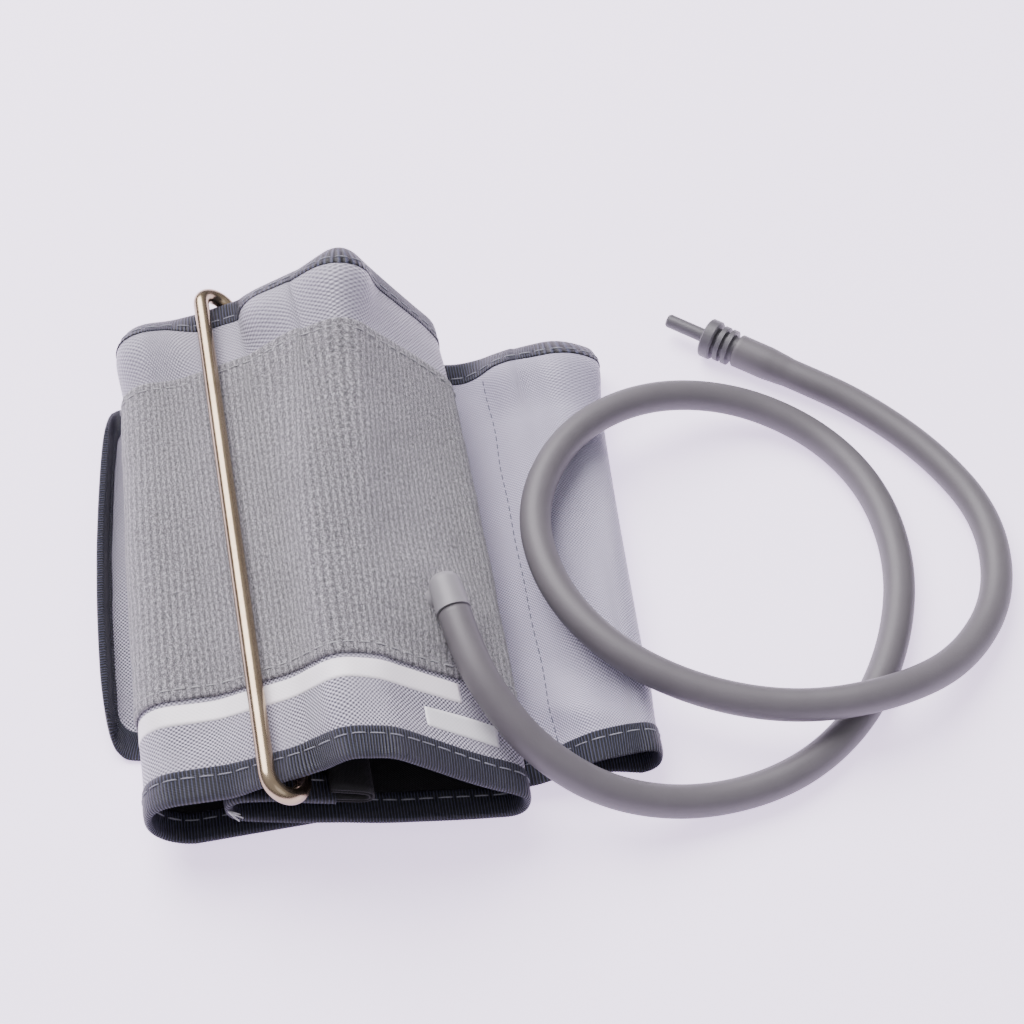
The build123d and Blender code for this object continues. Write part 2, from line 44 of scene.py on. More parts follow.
# ---- the strip's section, in millimetres, from the ring's sleeve to the tail's tip.
# Each corner is (x, z, radius) at the strip's front edge, at its middle and at its back edge,
# because the folds lean across the strip. The middle is the CAD model's section.
FRONT_Y, BACK_Y = -75.0, 75.0
SECTION_START = 3 * ((-17.1, 22.8),)
SECTION_CORNERS = [
    3 * ((-6.0, 19.5, 2.0),),
    3 * ((-9.0, 16.1, 2.0),),
    ((-29.5, 21.0, 10.0), (-28.3, 21.0, 10.0), (-27.5, 21.0, 10.0)),
    ((-40.6, 21.6, 3.6), (-39.1, 21.6, 3.6), (-38.0, 21.6, 3.6)),
    ((-40.6, 13.6, 3.6), (-39.1, 13.8, 3.6), (-38.0, 13.8, 3.6)),
    ((-18.0, 9.8, 60.0), (-16.3, 10.2, 60.0), (-15.0, 10.2, 60.0)),
    ((1.0, 7.7, 60.0), (2.7, 8.1, 60.0), (4.5, 8.3, 60.0)),
    ((26.0, 7.6, 4.4), (28.1, 8.0, 4.6), (28.8, 8.4, 4.6)),
    ((27.6, 15.4, 5.0), (29.5, 15.8, 5.0), (28.8, 19.4, 7.0)),
    ((-2.4, 38.6, 9.0), (0.4, 39.2, 8.5), (7.4, 50.0, 2.6)),
    ((-12.0, 39.6, 7.0), (-10.0, 40.0, 7.5), (-3.4, 40.0, 13.0)),
    ((-20.8, 32.0, 12.0), (-20.8, 32.0, 12.0), (-20.2, 31.8, 12.0)),
    ((-39.6, 23.9, 15.0), (-39.3, 23.8, 15.0), (-39.3, 23.6, 15.0)),
    ((-59.0, 22.0, 8.6), (-56.5, 22.0, 8.6), (-52.4, 21.6, 8.4)),
    ((-59.0, 4.3, 8.6), (-56.5, 4.3, 8.6), (-52.4, 4.3, 8.4)),
    ((32.5, 4.3, 14.0), (34.2, 4.3, 14.0), (36.5, 5.0, 14.0)),
    ((45.0, 10.8, 14.0), (48.2, 10.8, 14.0), (50.5, 11.6, 14.0)),
    ((54.5, 12.0, 12.0), (60.0, 12.2, 12.0), (61.5, 17.6, 9.0)),
    ((61.6, 11.4, 4.6), (67.0, 11.0, 4.8), (74.0, 8.8, 3.2)),
    ((61.4, 0.3, 4.6), (67.1, 0.3, 4.8), (74.4, 0.3, 3.2)),
    ((-64.4, 0.3, 3.6), (-65.6, 0.3, 3.6), (-57.0, 0.3, 3.6)),
]
SECTION_END = ((-66.4, 7.2), (-67.6, 7.4), (-58.8, 6.4))

# ---- the strip's plan: its front and back edges, seen from above
BODY_WIDTH = 145.0
BODY_FRONT_AT_0, EDGE_SLOPE = -74.6, -0.123
ROLL_X, TURN_X = -47.2, 61.6
FLAP_X, FLAP_FRONT, FLAP_BACK = 66.7, -68.5, 57.5
TIP_X, TIP_FRONT, TIP_BACK = -67.0, -40.5, 70.0
TAIL_CORNER_R = 15.0

# ---- layers: lowest and highest n, where n is positive to the strip's outer face
COVER_N, LINING_N, TAIL_LINING_N = (0.7, 1.2), (-1.0, -0.5), (0.2, 0.7)
BLADDER_OUT_N, BLADDER_IN_N = (-0.1, 0.2), (-0.4, -0.1)
LOOP_N, HOOK_N = (1.15, 2.05), (1.15, 1.62)
PRINT_N, LABEL_N = (1.15, 1.3), (1.15, 1.42)
TAPE_TOP, THICK_TAPE_LOW, THIN_TAPE_LOW = 1.7, -1.5, -0.3
TAPE_WIDTH, TAPE_THICKNESS, TAPE_BULGE = 7.0, 0.35, 0.65
LOOP_INSET, HOOK_INSET, BLADDER_INSET = (26.0, 21.0), (16.0, 16.0), (12.5, 12.5)
STRIPE_INSET, LABEL_INSET = (19.4, 24.8), (10.5, 15.9)
HEM_INSET = 0.4
# the layers lie closer together beside the bound edges
EDGE_SQUEEZE, SQUEEZE_CENTRE, SQUEEZE_FROM, SQUEEZE_TO = 0.6, 0.45, 8.0, 20.0

# ---- the hose's route: the same points as in the CAD model, from the elbow's mouth to the plug
HOSE_D, HOSE_LENGTH = 8.0, 602.0
HOSE_POINTS = [
    (17.6, -36.4, 33.1), (18.6, -46.3, 32.5), (22.0, -58.4, 30.0), (30.4, -71.3, 23.0),
    (46.4, -80.4, 12.8), (68.6, -82.6, 5.0), (92.5, -79.0, 4.0), (112.6, -66.0, 4.0),
    (127.0, -46.0, 4.0), (135.4, -22.6, 4.0), (135.0, 2.4, 4.0), (124.4, 23.2, 4.4),
    (104.4, 35.4, 8.4), (79.6, 34.4, 15.3), (57.4, 23.2, 18.2), (43.4, 2.4, 18.2),
    (43.0, -22.0, 18.2), (53.4, -43.8, 17.6), (72.6, -58.6, 15.2), (95.4, -66.4, 13.5),
    (119.2, -66.4, 13.5), (140.6, -56.4, 6.6), (156.8, -38.4, 4.0), (161.8, -14.4, 4.0),
    (154.2, 8.6, 4.0), (140.0, 29.0, 4.2), (124.5, 41.7, 5.5), (111.9, 53.1, 5.5),
]

# ---- the port and the ring, as in the CAD model
FLANK_TOP, FLANK_FOOT = (0.1, 38.6), (29.5, 15.8)
ELBOW_X, ELBOW_Y = 12.8, -30.5
BAR_X, BAR_Z = -23.178, 26.297
OUTER_BAR_X, OUTER_BAR_Z = -30.612, 32.682
WIRE_R, RING_LENGTH, RING_MIDDLE_Y = 2.0, 156.8, 0.9
TAB_LENGTH, TAB_SLOPE = 17.0, math.radians(-17.0)
SLEEVE_R, SLEEVE_HALF, SLEEVE_CLOTH = 2.95, 60.0, 1.0
SLEEVE_SEAM = (7.6, 15.0)
BAR_CLEARANCE, PLY_GAP = 0.12, 0.03


# ==== the strip's surface ====
class FilletedLine:
    """Straight runs and tangent arcs in a plane, one arc for each corner."""

    def __init__(self, start, corners, end):
        points = [tuple(start)] + [tuple(c[:2]) for c in corners] + [tuple(end)]
        radii = [0.0] + [c[2] for c in corners] + [0.0]
        headings = [math.atan2(b[1] - a[1], b[0] - a[0]) for a, b in zip(points, points[1:])]
        turns = [0.0]
        for a, b in zip(headings, headings[1:]):
            turns.append((b - a + math.pi) % (2 * math.pi) - math.pi)
        turns.append(0.0)
        setbacks = [r * math.tan(abs(t) / 2) for r, t in zip(radii, turns)]
        self.pieces = []
        place = points[0]
        for i, heading in enumerate(headings):
            run = math.dist(points[i], points[i + 1]) - setbacks[i] - setbacks[i + 1]
            if run < 0:
                raise ValueError(f"corner {i} has no room for its radius")
            self.pieces.append((run, place, heading, 0.0))
            place = self.along(place, heading, run, 0.0)
            if i + 1 < len(headings):
                length = max(radii[i + 1] * abs(turns[i + 1]), 1e-6)
                bend = turns[i + 1] / length
                self.pieces.append((length, place, heading, bend))
                place = self.along(place, heading, length, bend)
        self.lengths = np.array([p[0] for p in self.pieces])
        self.starts = np.concatenate([[0.0], np.cumsum(self.lengths)])
        self.length = float(self.starts[-1])

    @staticmethod
    def along(place, heading, length, bend):
        x, z = place
        if abs(bend) < 1e-9:
            return x + length * math.cos(heading), z + length * math.sin(heading)
        turned = heading + bend * length
        return (
            x + (math.sin(turned) - math.sin(heading)) / bend,
            z - (math.cos(turned) - math.cos(heading)) / bend,
        )

    def split(self, distances):
        """Each distance as a piece's number and the share of it that is passed."""
        index = np.clip(np.searchsorted(self.starts, distances, side="right") - 1, 0, len(self.lengths) - 1)
        return index, np.clip((distances - self.starts[index]) / self.lengths[index], 0.0, 1.0)

    def places(self, index, share):
        """The points at shares of the numbered pieces, and the headings there."""
        found = []
        for i, f in zip(index, share):
            length, place, heading, bend = self.pieces[i]
            x, z = self.along(place, heading, f * length, bend)
            found.append((x, z, heading + bend * f * length))
        return np.array(found)


def three_way(values, t):
    """A value at t, from 0 at the front through 0.5 to 1 at the back, on one smooth curve."""
    front, middle, back = (np.array(v, float) for v in values)
    return front * 2 * (t - 0.5) * (t - 1) + middle * 4 * t * (1 - t) + back * 2 * t * (t - 0.5)


def section_at(y):
    t = min(max((y - FRONT_Y) / (BACK_Y - FRONT_Y), -0.02), 1.02)
    corners = [three_way(c, t) for c in SECTION_CORNERS]
    return FilletedLine(three_way(SECTION_START, t), corners, three_way(SECTION_END, t))


def smooth(low, high, value):
    """0 at low and 1 at high, on a soft S between them."""
    t = np.clip((value - low) / (high - low), 0.0, 1.0)
    return t * t * (3 - 2 * t)


def unit(vectors):
    return vectors / np.linalg.norm(vectors, axis=-1, keepdims=True)


def lengths_along(points):
    """Each point's distance from the first one, along the line of points."""
    steps = np.linalg.norm(np.diff(points, axis=0), axis=1)
    return np.concatenate([[0], np.cumsum(steps)])


S_STEP, Y_STEP, Y_REACH = 0.5, 2.5, 92.5
MIDDLE = section_at(0.0)
STRIP_LENGTH = MIDDLE.length
GRID_S = np.arange(0.0, STRIP_LENGTH + S_STEP, S_STEP)
GRID_Y = np.arange(-Y_REACH, Y_REACH + 0.1, Y_STEP)
PIECES_OF_S = MIDDLE.split(GRID_S)
MIDDLE_LINE = MIDDLE.places(*PIECES_OF_S)


def nearest(x, z):
    """The s of the middle section's point nearest to (x, z)."""
    return float(GRID_S[np.argmin(np.hypot(MIDDLE_LINE[:, 0] - x, MIDDLE_LINE[:, 1] - z))])


# ---- stations along the strip, each by a point of the section near it
S_FOLD_END = nearest(-16.0, 17.6)
S_ROLL = nearest(ROLL_X, 4.3)
S_FLAP = nearest(TURN_X, 0.3)
S_LINING_END = nearest(24.0, 4.3)
S_SEAM = nearest(39.5, 6.5)
S_LOOP = (nearest(31.0, 11.0), nearest(-8.0, 4.3))
S_STRIPE_START = nearest(17.0, 25.5)
S_LABEL = (nearest(24.0, 20.0), nearest(8.5, 32.1))
S_BLADDER = (nearest(-14.0, 10.0), nearest(-12.0, 4.3))
S_HOOK = (nearest(-4.0, 0.3), nearest(-52.0, 0.3))
S_TAIL_TAPE = nearest(-46.0, 0.3)
S_RIGHT_TOP = nearest(28.5, 17.5)
S_RIDGE = nearest(-1.0, 38.0)
S_RING = nearest(-27.9, 28.9)


def line(x0, y0, x1, y1):
    return lambda x: y0 + (x - x0) * (y1 - y0) / (x1 - x0)


BODY_AT_0 = (BODY_FRONT_AT_0, BODY_FRONT_AT_0 + BODY_WIDTH)
BODY_EDGES = [line(0, y, 1, y + EDGE_SLOPE) for y in BODY_AT_0]
UNDER_EDGES = [line(ROLL_X, e(ROLL_X), FLAP_X, y) for e, y in zip(BODY_EDGES, (FLAP_FRONT, FLAP_BACK))]
TAIL_EDGES = [line(TURN_X, e(TURN_X), TIP_X, y) for e, y in zip(UNDER_EDGES, (TIP_FRONT, TIP_BACK))]


def edge_y(s, back):
    """The strip's front or back edge at s, seen from above; back is 0 or 1."""
    s = np.asarray(s, float)
    x = np.interp(s, GRID_S, MIDDLE_LINE[:, 0])
    body, under, tail = (edges[back](x) for edges in (BODY_EDGES, UNDER_EDGES, TAIL_EDGES))
    return np.where(s < S_ROLL, body, np.where(s < S_FLAP, under, tail))


# each wrinkle: s, y, turn in degrees from along the strip, half length, half width, height
WRINKLES = [
    (S_RIDGE + 16, 56.0, 64.0, 16.0, 5.0, 0.9),
    (S_RIDGE + 6, 60.0, 30.0, 12.0, 4.0, -0.9),
    (S_RIDGE + 24, 63.0, 80.0, 14.0, 4.5, -0.8),
    (S_RING + 13, 60.0, 12.0, 16.0, 5.0, 0.7),
    (S_RING, 58.0, 0.0, 9.0, 12.0, -0.5),
    (S_RIDGE + 12, -60.0, -35.0, 14.0, 5.0, 0.8),
    (S_RIDGE - 12, -62.0, 25.0, 13.0, 5.0, -0.7),
    (S_RING + 16, -62.0, -12.0, 18.0, 6.0, 0.9),
    (S_RIDGE - 20, 45.0, 5.0, 18.0, 14.0, 0.8),
    (S_SEAM + 13, 44.0, 50.0, 12.0, 4.5, 1.3),
    (S_SEAM + 7, 38.0, 70.0, 14.0, 3.5, -0.8),
    (S_SEAM + 12, -46.0, -40.0, 14.0, 4.0, 1.9),
    (S_SEAM + 18, -39.0, -45.0, 13.0, 3.6, -2.2),
    (S_SEAM + 9, -55.0, -28.0, 12.0, 3.8, -2.0),
    (S_SEAM + 18, -8.0, 74.0, 20.0, 4.5, 1.2),
    (S_SEAM + 12, 10.0, 84.0, 22.0, 4.0, -0.7),
    (S_SEAM - 7, 47.0, -25.0, 8.0, 4.0, -0.5),
]
BODY_WAVE, FLAP_WAVE = 0.28, 0.35
SEAM_DIMPLE, SEAM_WIDTH = 0.45, 1.6
# the back edge's crest: its height, where it starts and stands highest, and how it falls to the edge
BACK_RISE, FLAP_RISE = 5.0, 4.2
RISE_FROM, RISE_TOP, FALL_POWER = 23.0, 8.5, 1.6
FLANK_SHARE, FLANK_RUN = 0.3, 12.0
# the cloth stays low round the ring: further on the side to which the ring swings
SWING_SIDE, STILL_SIDE, CLEAR_OF_RING = 6.0, 3.5, 12.5
RING_DROOP = 0.5
FRONT_DROOP, FRONT_DROOP_FROM = 0.9, 10.0
TIP_CURL, TIP_CURL_FROM = 0.6, 6.0


def body_top(s):
    """1 over the rolled strip's upper side, fading to 0 at its two turns."""
    rise = smooth(S_RIGHT_TOP - 6, S_RIGHT_TOP + 10, s)
    return rise * (1 - smooth(S_ROLL - 26, S_ROLL - 12, s))


def flap_top(s):
    """1 over the flap's upper side, fading to 0 at the seam and at the flap's fold."""
    rise = smooth(S_SEAM - 6, S_SEAM + 6, s)
    return rise * (1 - smooth(S_FLAP - 20, S_FLAP - 7, s))


def wrinkles(s, y):
    """How far the loose cloth stands off its folds, towards its outer face."""
    off = np.zeros(np.broadcast(s, y).shape)
    for s0, y0, turn, length, width, height in WRINKLES:
        c, d = math.cos(math.radians(turn)), math.sin(math.radians(turn))
        a, b = (s - s0) * c + (y - y0) * d, (y - y0) * c - (s - s0) * d
        off = off + height * np.exp(-((a / length) ** 2) - ((b / width) ** 2))
    under_ring = np.exp(-(((s - S_RING) / 14.0) ** 2))
    waves = np.sin(y / 9.3 + s / 21.0) * np.sin(s / 13.0 + y / 37.0)
    off = off + BODY_WAVE * body_top(s) * (1 - under_ring) * waves
    return off + FLAP_WAVE * flap_top(s) * np.sin(y / 11.0 + 1.0) * np.sin(s / 9.0)


def offsets(s, y):
    """The wrinkles, the seam's dimple, and the droop and curl of the edges."""
    off = wrinkles(s, y) + SEAM_DIMPLE * np.exp(-(((s - S_SEAM) / SEAM_WIDTH) ** 2))
    to_back, to_front = edge_y(s, 1) - y, y - edge_y(s, 0)
    fall = np.clip((RISE_TOP - to_back) / RISE_TOP, 0, 1.2) ** FALL_POWER
    crest = 1 - smooth(RISE_TOP, RISE_FROM, to_back) - fall
    front = FRONT_DROOP * np.clip(1 - to_front / FRONT_DROOP_FROM, 0, 1.3) ** 2
    off_ring = smooth(np.where(s < S_RING, SWING_SIDE, STILL_SIDE), CLEAR_OF_RING, np.abs(s - S_RING))
    body = body_top(s)
    lifted = body * off_ring * (FLANK_SHARE + (1 - FLANK_SHARE) * smooth(S_RIDGE - FLANK_RUN, S_RIDGE, s))
    off = off + lifted * BACK_RISE * crest - body * off_ring * front - FLAP_RISE * flap_top(s) * crest
    off = off - body * (1 - off_ring) * RING_DROOP * fall
    return off + TIP_CURL * np.clip(1 - (STRIP_LENGTH - s) / TIP_CURL_FROM, 0, 1.1) ** 2


def normals_of(grid):
    return unit(np.cross(np.gradient(grid, axis=1), np.gradient(grid, axis=0)))


FLAT = np.zeros((len(GRID_S), len(GRID_Y), 3))
for column, row_y in enumerate(GRID_Y):
    row = section_at(row_y).places(*PIECES_OF_S)
    FLAT[:, column] = np.stack([row[:, 0], np.full(len(row), row_y), row[:, 1]], -1)
FLAT_NORMAL = normals_of(FLAT)

# ---- round the port the cloth comes up to the CAD model's elbow, and lies still
PORT_CALM, PORT_FADE, PORT_PRESS = 9.0, 20.0, 0.2
SOFTENINGS = 10
port_rise = FLANK_FOOT[1] - FLANK_TOP[1]
port_run = FLANK_FOOT[0] - FLANK_TOP[0]
PORT = np.array([ELBOW_X, ELBOW_Y, FLANK_TOP[1] + (ELBOW_X - FLANK_TOP[0]) * port_rise / port_run])
port_column = int(np.argmin(np.abs(GRID_Y - ELBOW_Y)))
port_row = int(np.argmin(np.linalg.norm(FLAT[:, port_column, ::2] - PORT[::2], axis=1)))
S_PORT = float(GRID_S[port_row])
below_port = PORT - FLAT[port_row, port_column]
PORT_LIFT = PORT_PRESS + float(below_port @ FLAT_NORMAL[port_row, port_column])
calm = 1 - smooth(PORT_CALM, PORT_FADE, np.hypot(GRID_S[:, None] - S_PORT, GRID_Y[None, :] - ELBOW_Y))
raised = offsets(GRID_S[:, None], GRID_Y[None, :]) * (1 - calm) + PORT_LIFT * calm
GRID = FLAT + FLAT_NORMAL * raised[:, :, None]
for _ in range(SOFTENINGS):
    GRID[1:-1] = (GRID[:-2] + 2 * GRID[1:-1] + GRID[2:]) / 4
NORMALS = normals_of(GRID)


EASE = 0.3


def sample(field, s, y):
    """A field of the grid at any s and y, between its four neighbours, eased a little across y."""
    a = np.clip(np.asarray(s, float) / S_STEP, 0, len(GRID_S) - 1.001)
    b = np.clip((np.asarray(y, float) - GRID_Y[0]) / Y_STEP, 0, len(GRID_Y) - 1.001)
    a, b = np.broadcast_arrays(a, b)
    i, j = a.astype(int), b.astype(int)
    f, g = (a - i)[..., None], (b - j)[..., None]
    g = g * g * (3 - 2 * g) * EASE + g * (1 - EASE)
    near = field[i, j] * (1 - g) + field[i, j + 1] * g
    far = field[i + 1, j] * (1 - g) + field[i + 1, j + 1] * g
    return near * (1 - f) + far * f


def on_strip(s, y, n):
    """The point of the strip at s and y, at layer height n, in millimetres."""
    s, y = np.broadcast_arrays(np.asarray(s, float), np.asarray(y, float))
    normal = unit(sample(NORMALS, s, y))
    to_edge = np.minimum(edge_y(s, 1) - y, y - edge_y(s, 0))
    squeeze = EDGE_SQUEEZE + (1 - EDGE_SQUEEZE) * smooth(SQUEEZE_FROM, SQUEEZE_TO, to_edge)
    height = SQUEEZE_CENTRE + (n - SQUEEZE_CENTRE) * squeeze
    return sample(GRID, s, y) + normal * height[..., None]


NOISE_ROWS, NOISE_COLUMNS, NOISE_ORIGIN_Y = 1024, 512, -200.0


def value_noise(s, y, pitch_s, pitch_y, seed):
    """Smooth noise from -1 to 1 with a grain of pitch_s by pitch_y millimetres."""
    table = np.random.default_rng(seed).uniform(-1, 1, (NOISE_ROWS, NOISE_COLUMNS))
    a, b = np.asarray(s) / pitch_s, (np.asarray(y) - NOISE_ORIGIN_Y) / pitch_y
    i, j = np.floor(a).astype(int), np.floor(b).astype(int)
    f, g = a - i, b - j
    f, g = f * f * (3 - 2 * f), g * g * (3 - 2 * g)
    i0, i1 = i % NOISE_ROWS, (i + 1) % NOISE_ROWS
    j0, j1 = j % NOISE_COLUMNS, (j + 1) % NOISE_COLUMNS
    near = table[i0, j0] * (1 - g) + table[i0, j1] * g
    far = table[i1, j0] * (1 - g) + table[i1, j1] * g
    return near * (1 - f) + far * f


# ==== meshes ====
def placed(name, data):
    """An object in the scene."""
    obj = bpy.data.objects.new(name, data)
    bpy.context.scene.collection.objects.link(obj)
    return obj


def new_object(name, points, faces, uv=None):
    """A smooth mesh from points in millimetres; uv, in millimetres too, is its cloth map."""
    mesh = bpy.data.meshes.new(name)
    spots = np.asarray(points, float).reshape(-1, 3) * MM
    mesh.from_pydata(spots.tolist(), [], [tuple(map(int, f)) for f in faces])
    shape = bmesh.new()
    shape.from_mesh(mesh)
    bmesh.ops.recalc_face_normals(shape, faces=shape.faces)
    shape.to_mesh(mesh)
    shape.free()
    mesh.update()
    if uv is not None:
        cloth_map = mesh.uv_layers.new(name="cloth")
        corners = np.zeros(len(mesh.loops), np.int32)
        mesh.loops.foreach_get("vertex_index", corners)
        cloth_map.data.foreach_set("uv", np.asarray(uv, np.float32).reshape(-1, 2)[corners].ravel())
    mesh.polygons.foreach_set("use_smooth", [True] * len(mesh.polygons))
    return placed(name, mesh)


def quads(rows, columns, first=0, flip=False, wrap=False):
    """The faces of a grid of points, numbered row by row; wrap joins its last column to its first."""
    i, j = np.meshgrid(np.arange(rows - 1), np.arange(columns if wrap else columns - 1), indexing="ij")
    here, beside = i * columns + j, i * columns + (j + 1) % columns
    found = np.stack([here, beside, beside + columns, here + columns], -1).reshape(-1, 4) + first
    return found[:, ::-1] if flip else found


def capped_tube(rows, columns, first=0, flip=False):
    """The faces of a tube of points with a face across each end."""
    start = list(range(first, first + columns))
    end = [v + (rows - 1) * columns for v in start]
    caps = [start, end[::-1]] if flip else [start[::-1], end]
    return [list(f) for f in quads(rows, columns, first, flip, wrap=True)] + caps


def looped_tube(rows, columns):
    """The faces of a tube of points whose last row joins its first."""
    last = (rows - 1) * columns
    seam = [[last + k, last + (k + 1) % columns, (k + 1) % columns, k] for k in range(columns)]
    return [list(f) for f in quads(rows, columns, wrap=True)] + seam


def border(rows, columns):
    """The numbers of a grid's outermost points, in order round it."""
    last = (rows - 1) * columns
    return (
        list(range(columns))
        + [r * columns + columns - 1 for r in range(1, rows)]
        + list(range(last + columns - 2, last - 1, -1))
        + [r * columns for r in range(rows - 2, 0, -1)]
    )


def layer(name, s, y, low, high, edge_share=0.2):
    """A closed layer of cloth over a grid of s and y, thinner by edge_share along its border."""
    rows, columns = s.shape
    low, high = np.broadcast_to(low, s.shape).copy(), np.broadcast_to(high, s.shape).copy()
    for cut in (np.s_[0, :], np.s_[-1, :], np.s_[:, 0], np.s_[:, -1]):
        drop = (high[cut] - low[cut]) * edge_share
        high[cut] -= drop
        low[cut] += drop
    points = np.concatenate([on_strip(s, y, n) for n in (high, low)])
    uv = np.tile(np.stack([s, y], -1), (2, 1, 1))
    size = rows * columns
    edge = border(rows, columns)
    sides = np.array([(a, a + size, b + size, b) for a, b in zip(edge, edge[1:] + edge[:1])])
    faces = np.concatenate([quads(rows, columns), quads(rows, columns, size, flip=True), sides])
    return new_object(name, points, faces, uv)


CORNER_STEPS = 14


def patch(s0, s1, insets, s_step, y_step):
    """A grid of s and y from s0 to s1, set in from both edges, with the tail's round corners."""
    inset = insets[0]
    end = STRIP_LENGTH - inset
    steps = max(2, round((s1 - s0) / s_step))
    s = np.linspace(s0, min(s1, end), steps + 1)
    radius = TAIL_CORNER_R - inset
    if radius > 0 and s1 > end - radius:
        turns = np.linspace(0, 1, CORNER_STEPS + 1)[1:] * math.pi / 2
        s = np.concatenate([s[s < end - radius], [end - radius], end - radius + radius * np.sin(turns)])
        cut = radius - np.sqrt(np.maximum(radius**2 - np.maximum(s - end + radius, 0) ** 2, 0))
    else:
        cut = np.zeros(len(s))
    front, back = edge_y(s, 0) + insets[0] + cut, edge_y(s, 1) - insets[1] - cut
    columns = max(3, round(float((back - front).max()) / y_step) + 1)
    share = np.linspace(0, 1, columns)
    return np.repeat(s[:, None], columns, 1), front[:, None] + (back - front)[:, None] * share


def band(s0, s1, near, far, s_step, y_step):
    """A grid of s and y from s0 to s1, between two distances from the front edge."""
    s = np.linspace(s0, s1, round((s1 - s0) / s_step) + 1)
    share = np.linspace(near, far, max(3, round((far - near) / y_step) + 1))
    return np.repeat(s[:, None], len(share), 1), edge_y(s, 0)[:, None] + share


def edge_run(s0, s1, back, inset, step):
    """A line beside the strip's front or back edge: s, y and the direction into the strip, row by row."""
    s = np.arange(s0, s1, step)
    inward = -1.0 if back else 1.0
    y = edge_y(s, back) + inward * inset
    return s, y, np.stack([np.zeros(len(s)), np.full(len(s), inward)], -1)


def tail_run(inset, step):
    """The same round the tail's end, from its front edge to its back edge."""
    s1 = STRIP_LENGTH - inset
    radius = TAIL_CORNER_R - inset
    places = [(S_TAIL_TAPE, 0), (s1, 0), (s1, 1), (S_TAIL_TAPE, 1)]
    corners = [(s, float(edge_y(s, back)) + (inset if not back else -inset)) for s, back in places]
    outline = FilletedLine(corners[0], [(*c, radius) for c in corners[1:3]], corners[3])
    found = outline.places(*outline.split(np.arange(0.0, outline.length, step)))
    heading = found[:, 2]
    return found[:, 0], found[:, 1], np.stack([-np.sin(heading), np.cos(heading)], -1)


# ---- binding tape, with its cross ribs
RIB_PITCH, RIB_HEIGHT, RIB_STEPS = 0.75, 0.055, 3
TAPE_LOOSE, LOOSE_PITCH, LIP = 0.16, 9.0, 1.5
# the tape's section: distance from the raw edge, and share of the height from its lower to its upper face
TAPE_SKIN = np.array([
    (7.0, 0.93), (6.75, 1.0), (5.8, 1.01), (5.35, 0.985), (4.95, 0.95), (4.55, 0.985),
    (3.2, 1.02), (1.7, 1.03), (0.7, 1.0), (0.1, 0.92), (-0.35, 0.76), (-TAPE_BULGE, 0.5),
    (-0.35, 0.24), (0.1, 0.08), (0.7, 0.0), (1.7, -0.03), (3.2, -0.02), (4.55, 0.015),
    (4.95, 0.05), (5.35, 0.015), (5.8, -0.01), (6.75, 0.0), (7.0, 0.07),
])
# the same for its inner face, from lower leg to upper, and which way it is set off by the thickness
TAPE_INNER = np.array([
    (7.0, 0, 1), (3.5, 0, 1), (0.4, 0, 1), (TAPE_THICKNESS - TAPE_BULGE, 0.5, 0),
    (0.4, 1, -1), (3.5, 1, -1), (7.0, 1, -1),
])
# the section's own shape in millimetres, where its two faces are 3.2 mm apart
TAPE_SHAPE = TAPE_SKIN * [1.0, 3.2]


def tape_low(s):
    """The tape is thicker where the edge has both the lining and the bladder's pocket in it."""
    return THICK_TAPE_LOW + (THIN_TAPE_LOW - THICK_TAPE_LOW) * smooth(S_LINING_END - 1, S_LINING_END + 5, s)


def tape(name, run, seed):
    """A U of ribbed tape folded round a raw edge."""
    s, y, inward = run
    rows = len(s)
    along = np.arange(rows) * RIB_PITCH / RIB_STEPS
    turn = np.gradient(TAPE_SHAPE, axis=0)
    out = unit(np.stack([turn[:, 1], -turn[:, 0]], -1))
    low = tape_low(s)[:, None]
    height = TAPE_TOP - low
    rib = RIB_HEIGHT * np.cos(2 * math.pi * along / RIB_PITCH)[:, None]
    loose = TAPE_LOOSE * value_noise(along, np.zeros(rows), LOOSE_PITCH, 5.0, seed)[:, None]
    d = TAPE_SKIN[:, 0] + out[:, 0] * rib
    d = d + np.where(TAPE_SKIN[:, 0] > TAPE_WIDTH - LIP, loose * 1.6, loose * 0.4)
    n = low + TAPE_SKIN[:, 1] * height - out[:, 1] * rib
    inner_n = low + TAPE_INNER[:, 1] * height + TAPE_INNER[:, 2] * TAPE_THICKNESS
    d = np.concatenate([d, np.broadcast_to(TAPE_INNER[:, 0], inner_n.shape)], 1)
    n = np.concatenate([n, inner_n], 1)
    points = on_strip(s[:, None] + inward[:, :1] * d, y[:, None] + inward[:, 1:] * d, n)
    columns = d.shape[1]
    reach = lengths_along(TAPE_SHAPE)
    across = np.concatenate([reach, np.linspace(reach[-1], 0, len(TAPE_INNER))])
    uv = np.stack([np.repeat(along[:, None], columns, 1), np.tile(across, (rows, 1))], -1)
    return new_object(name, points, capped_tube(rows, columns, flip=True), uv)


# ---- stitches: one short, round-ended length of thread each
# its shape: share of its length, share of its rise, share of its radius
STITCH_SHAPE = np.array([
    (0.0, -0.25, 0.55), (0.08, 0.35, 0.9), (0.25, 0.85, 1.0), (0.5, 1.0, 1.0),
    (0.75, 0.85, 1.0), (0.92, 0.35, 0.9), (1.0, -0.25, 0.55),
])
STITCH_SLIP = 0.12


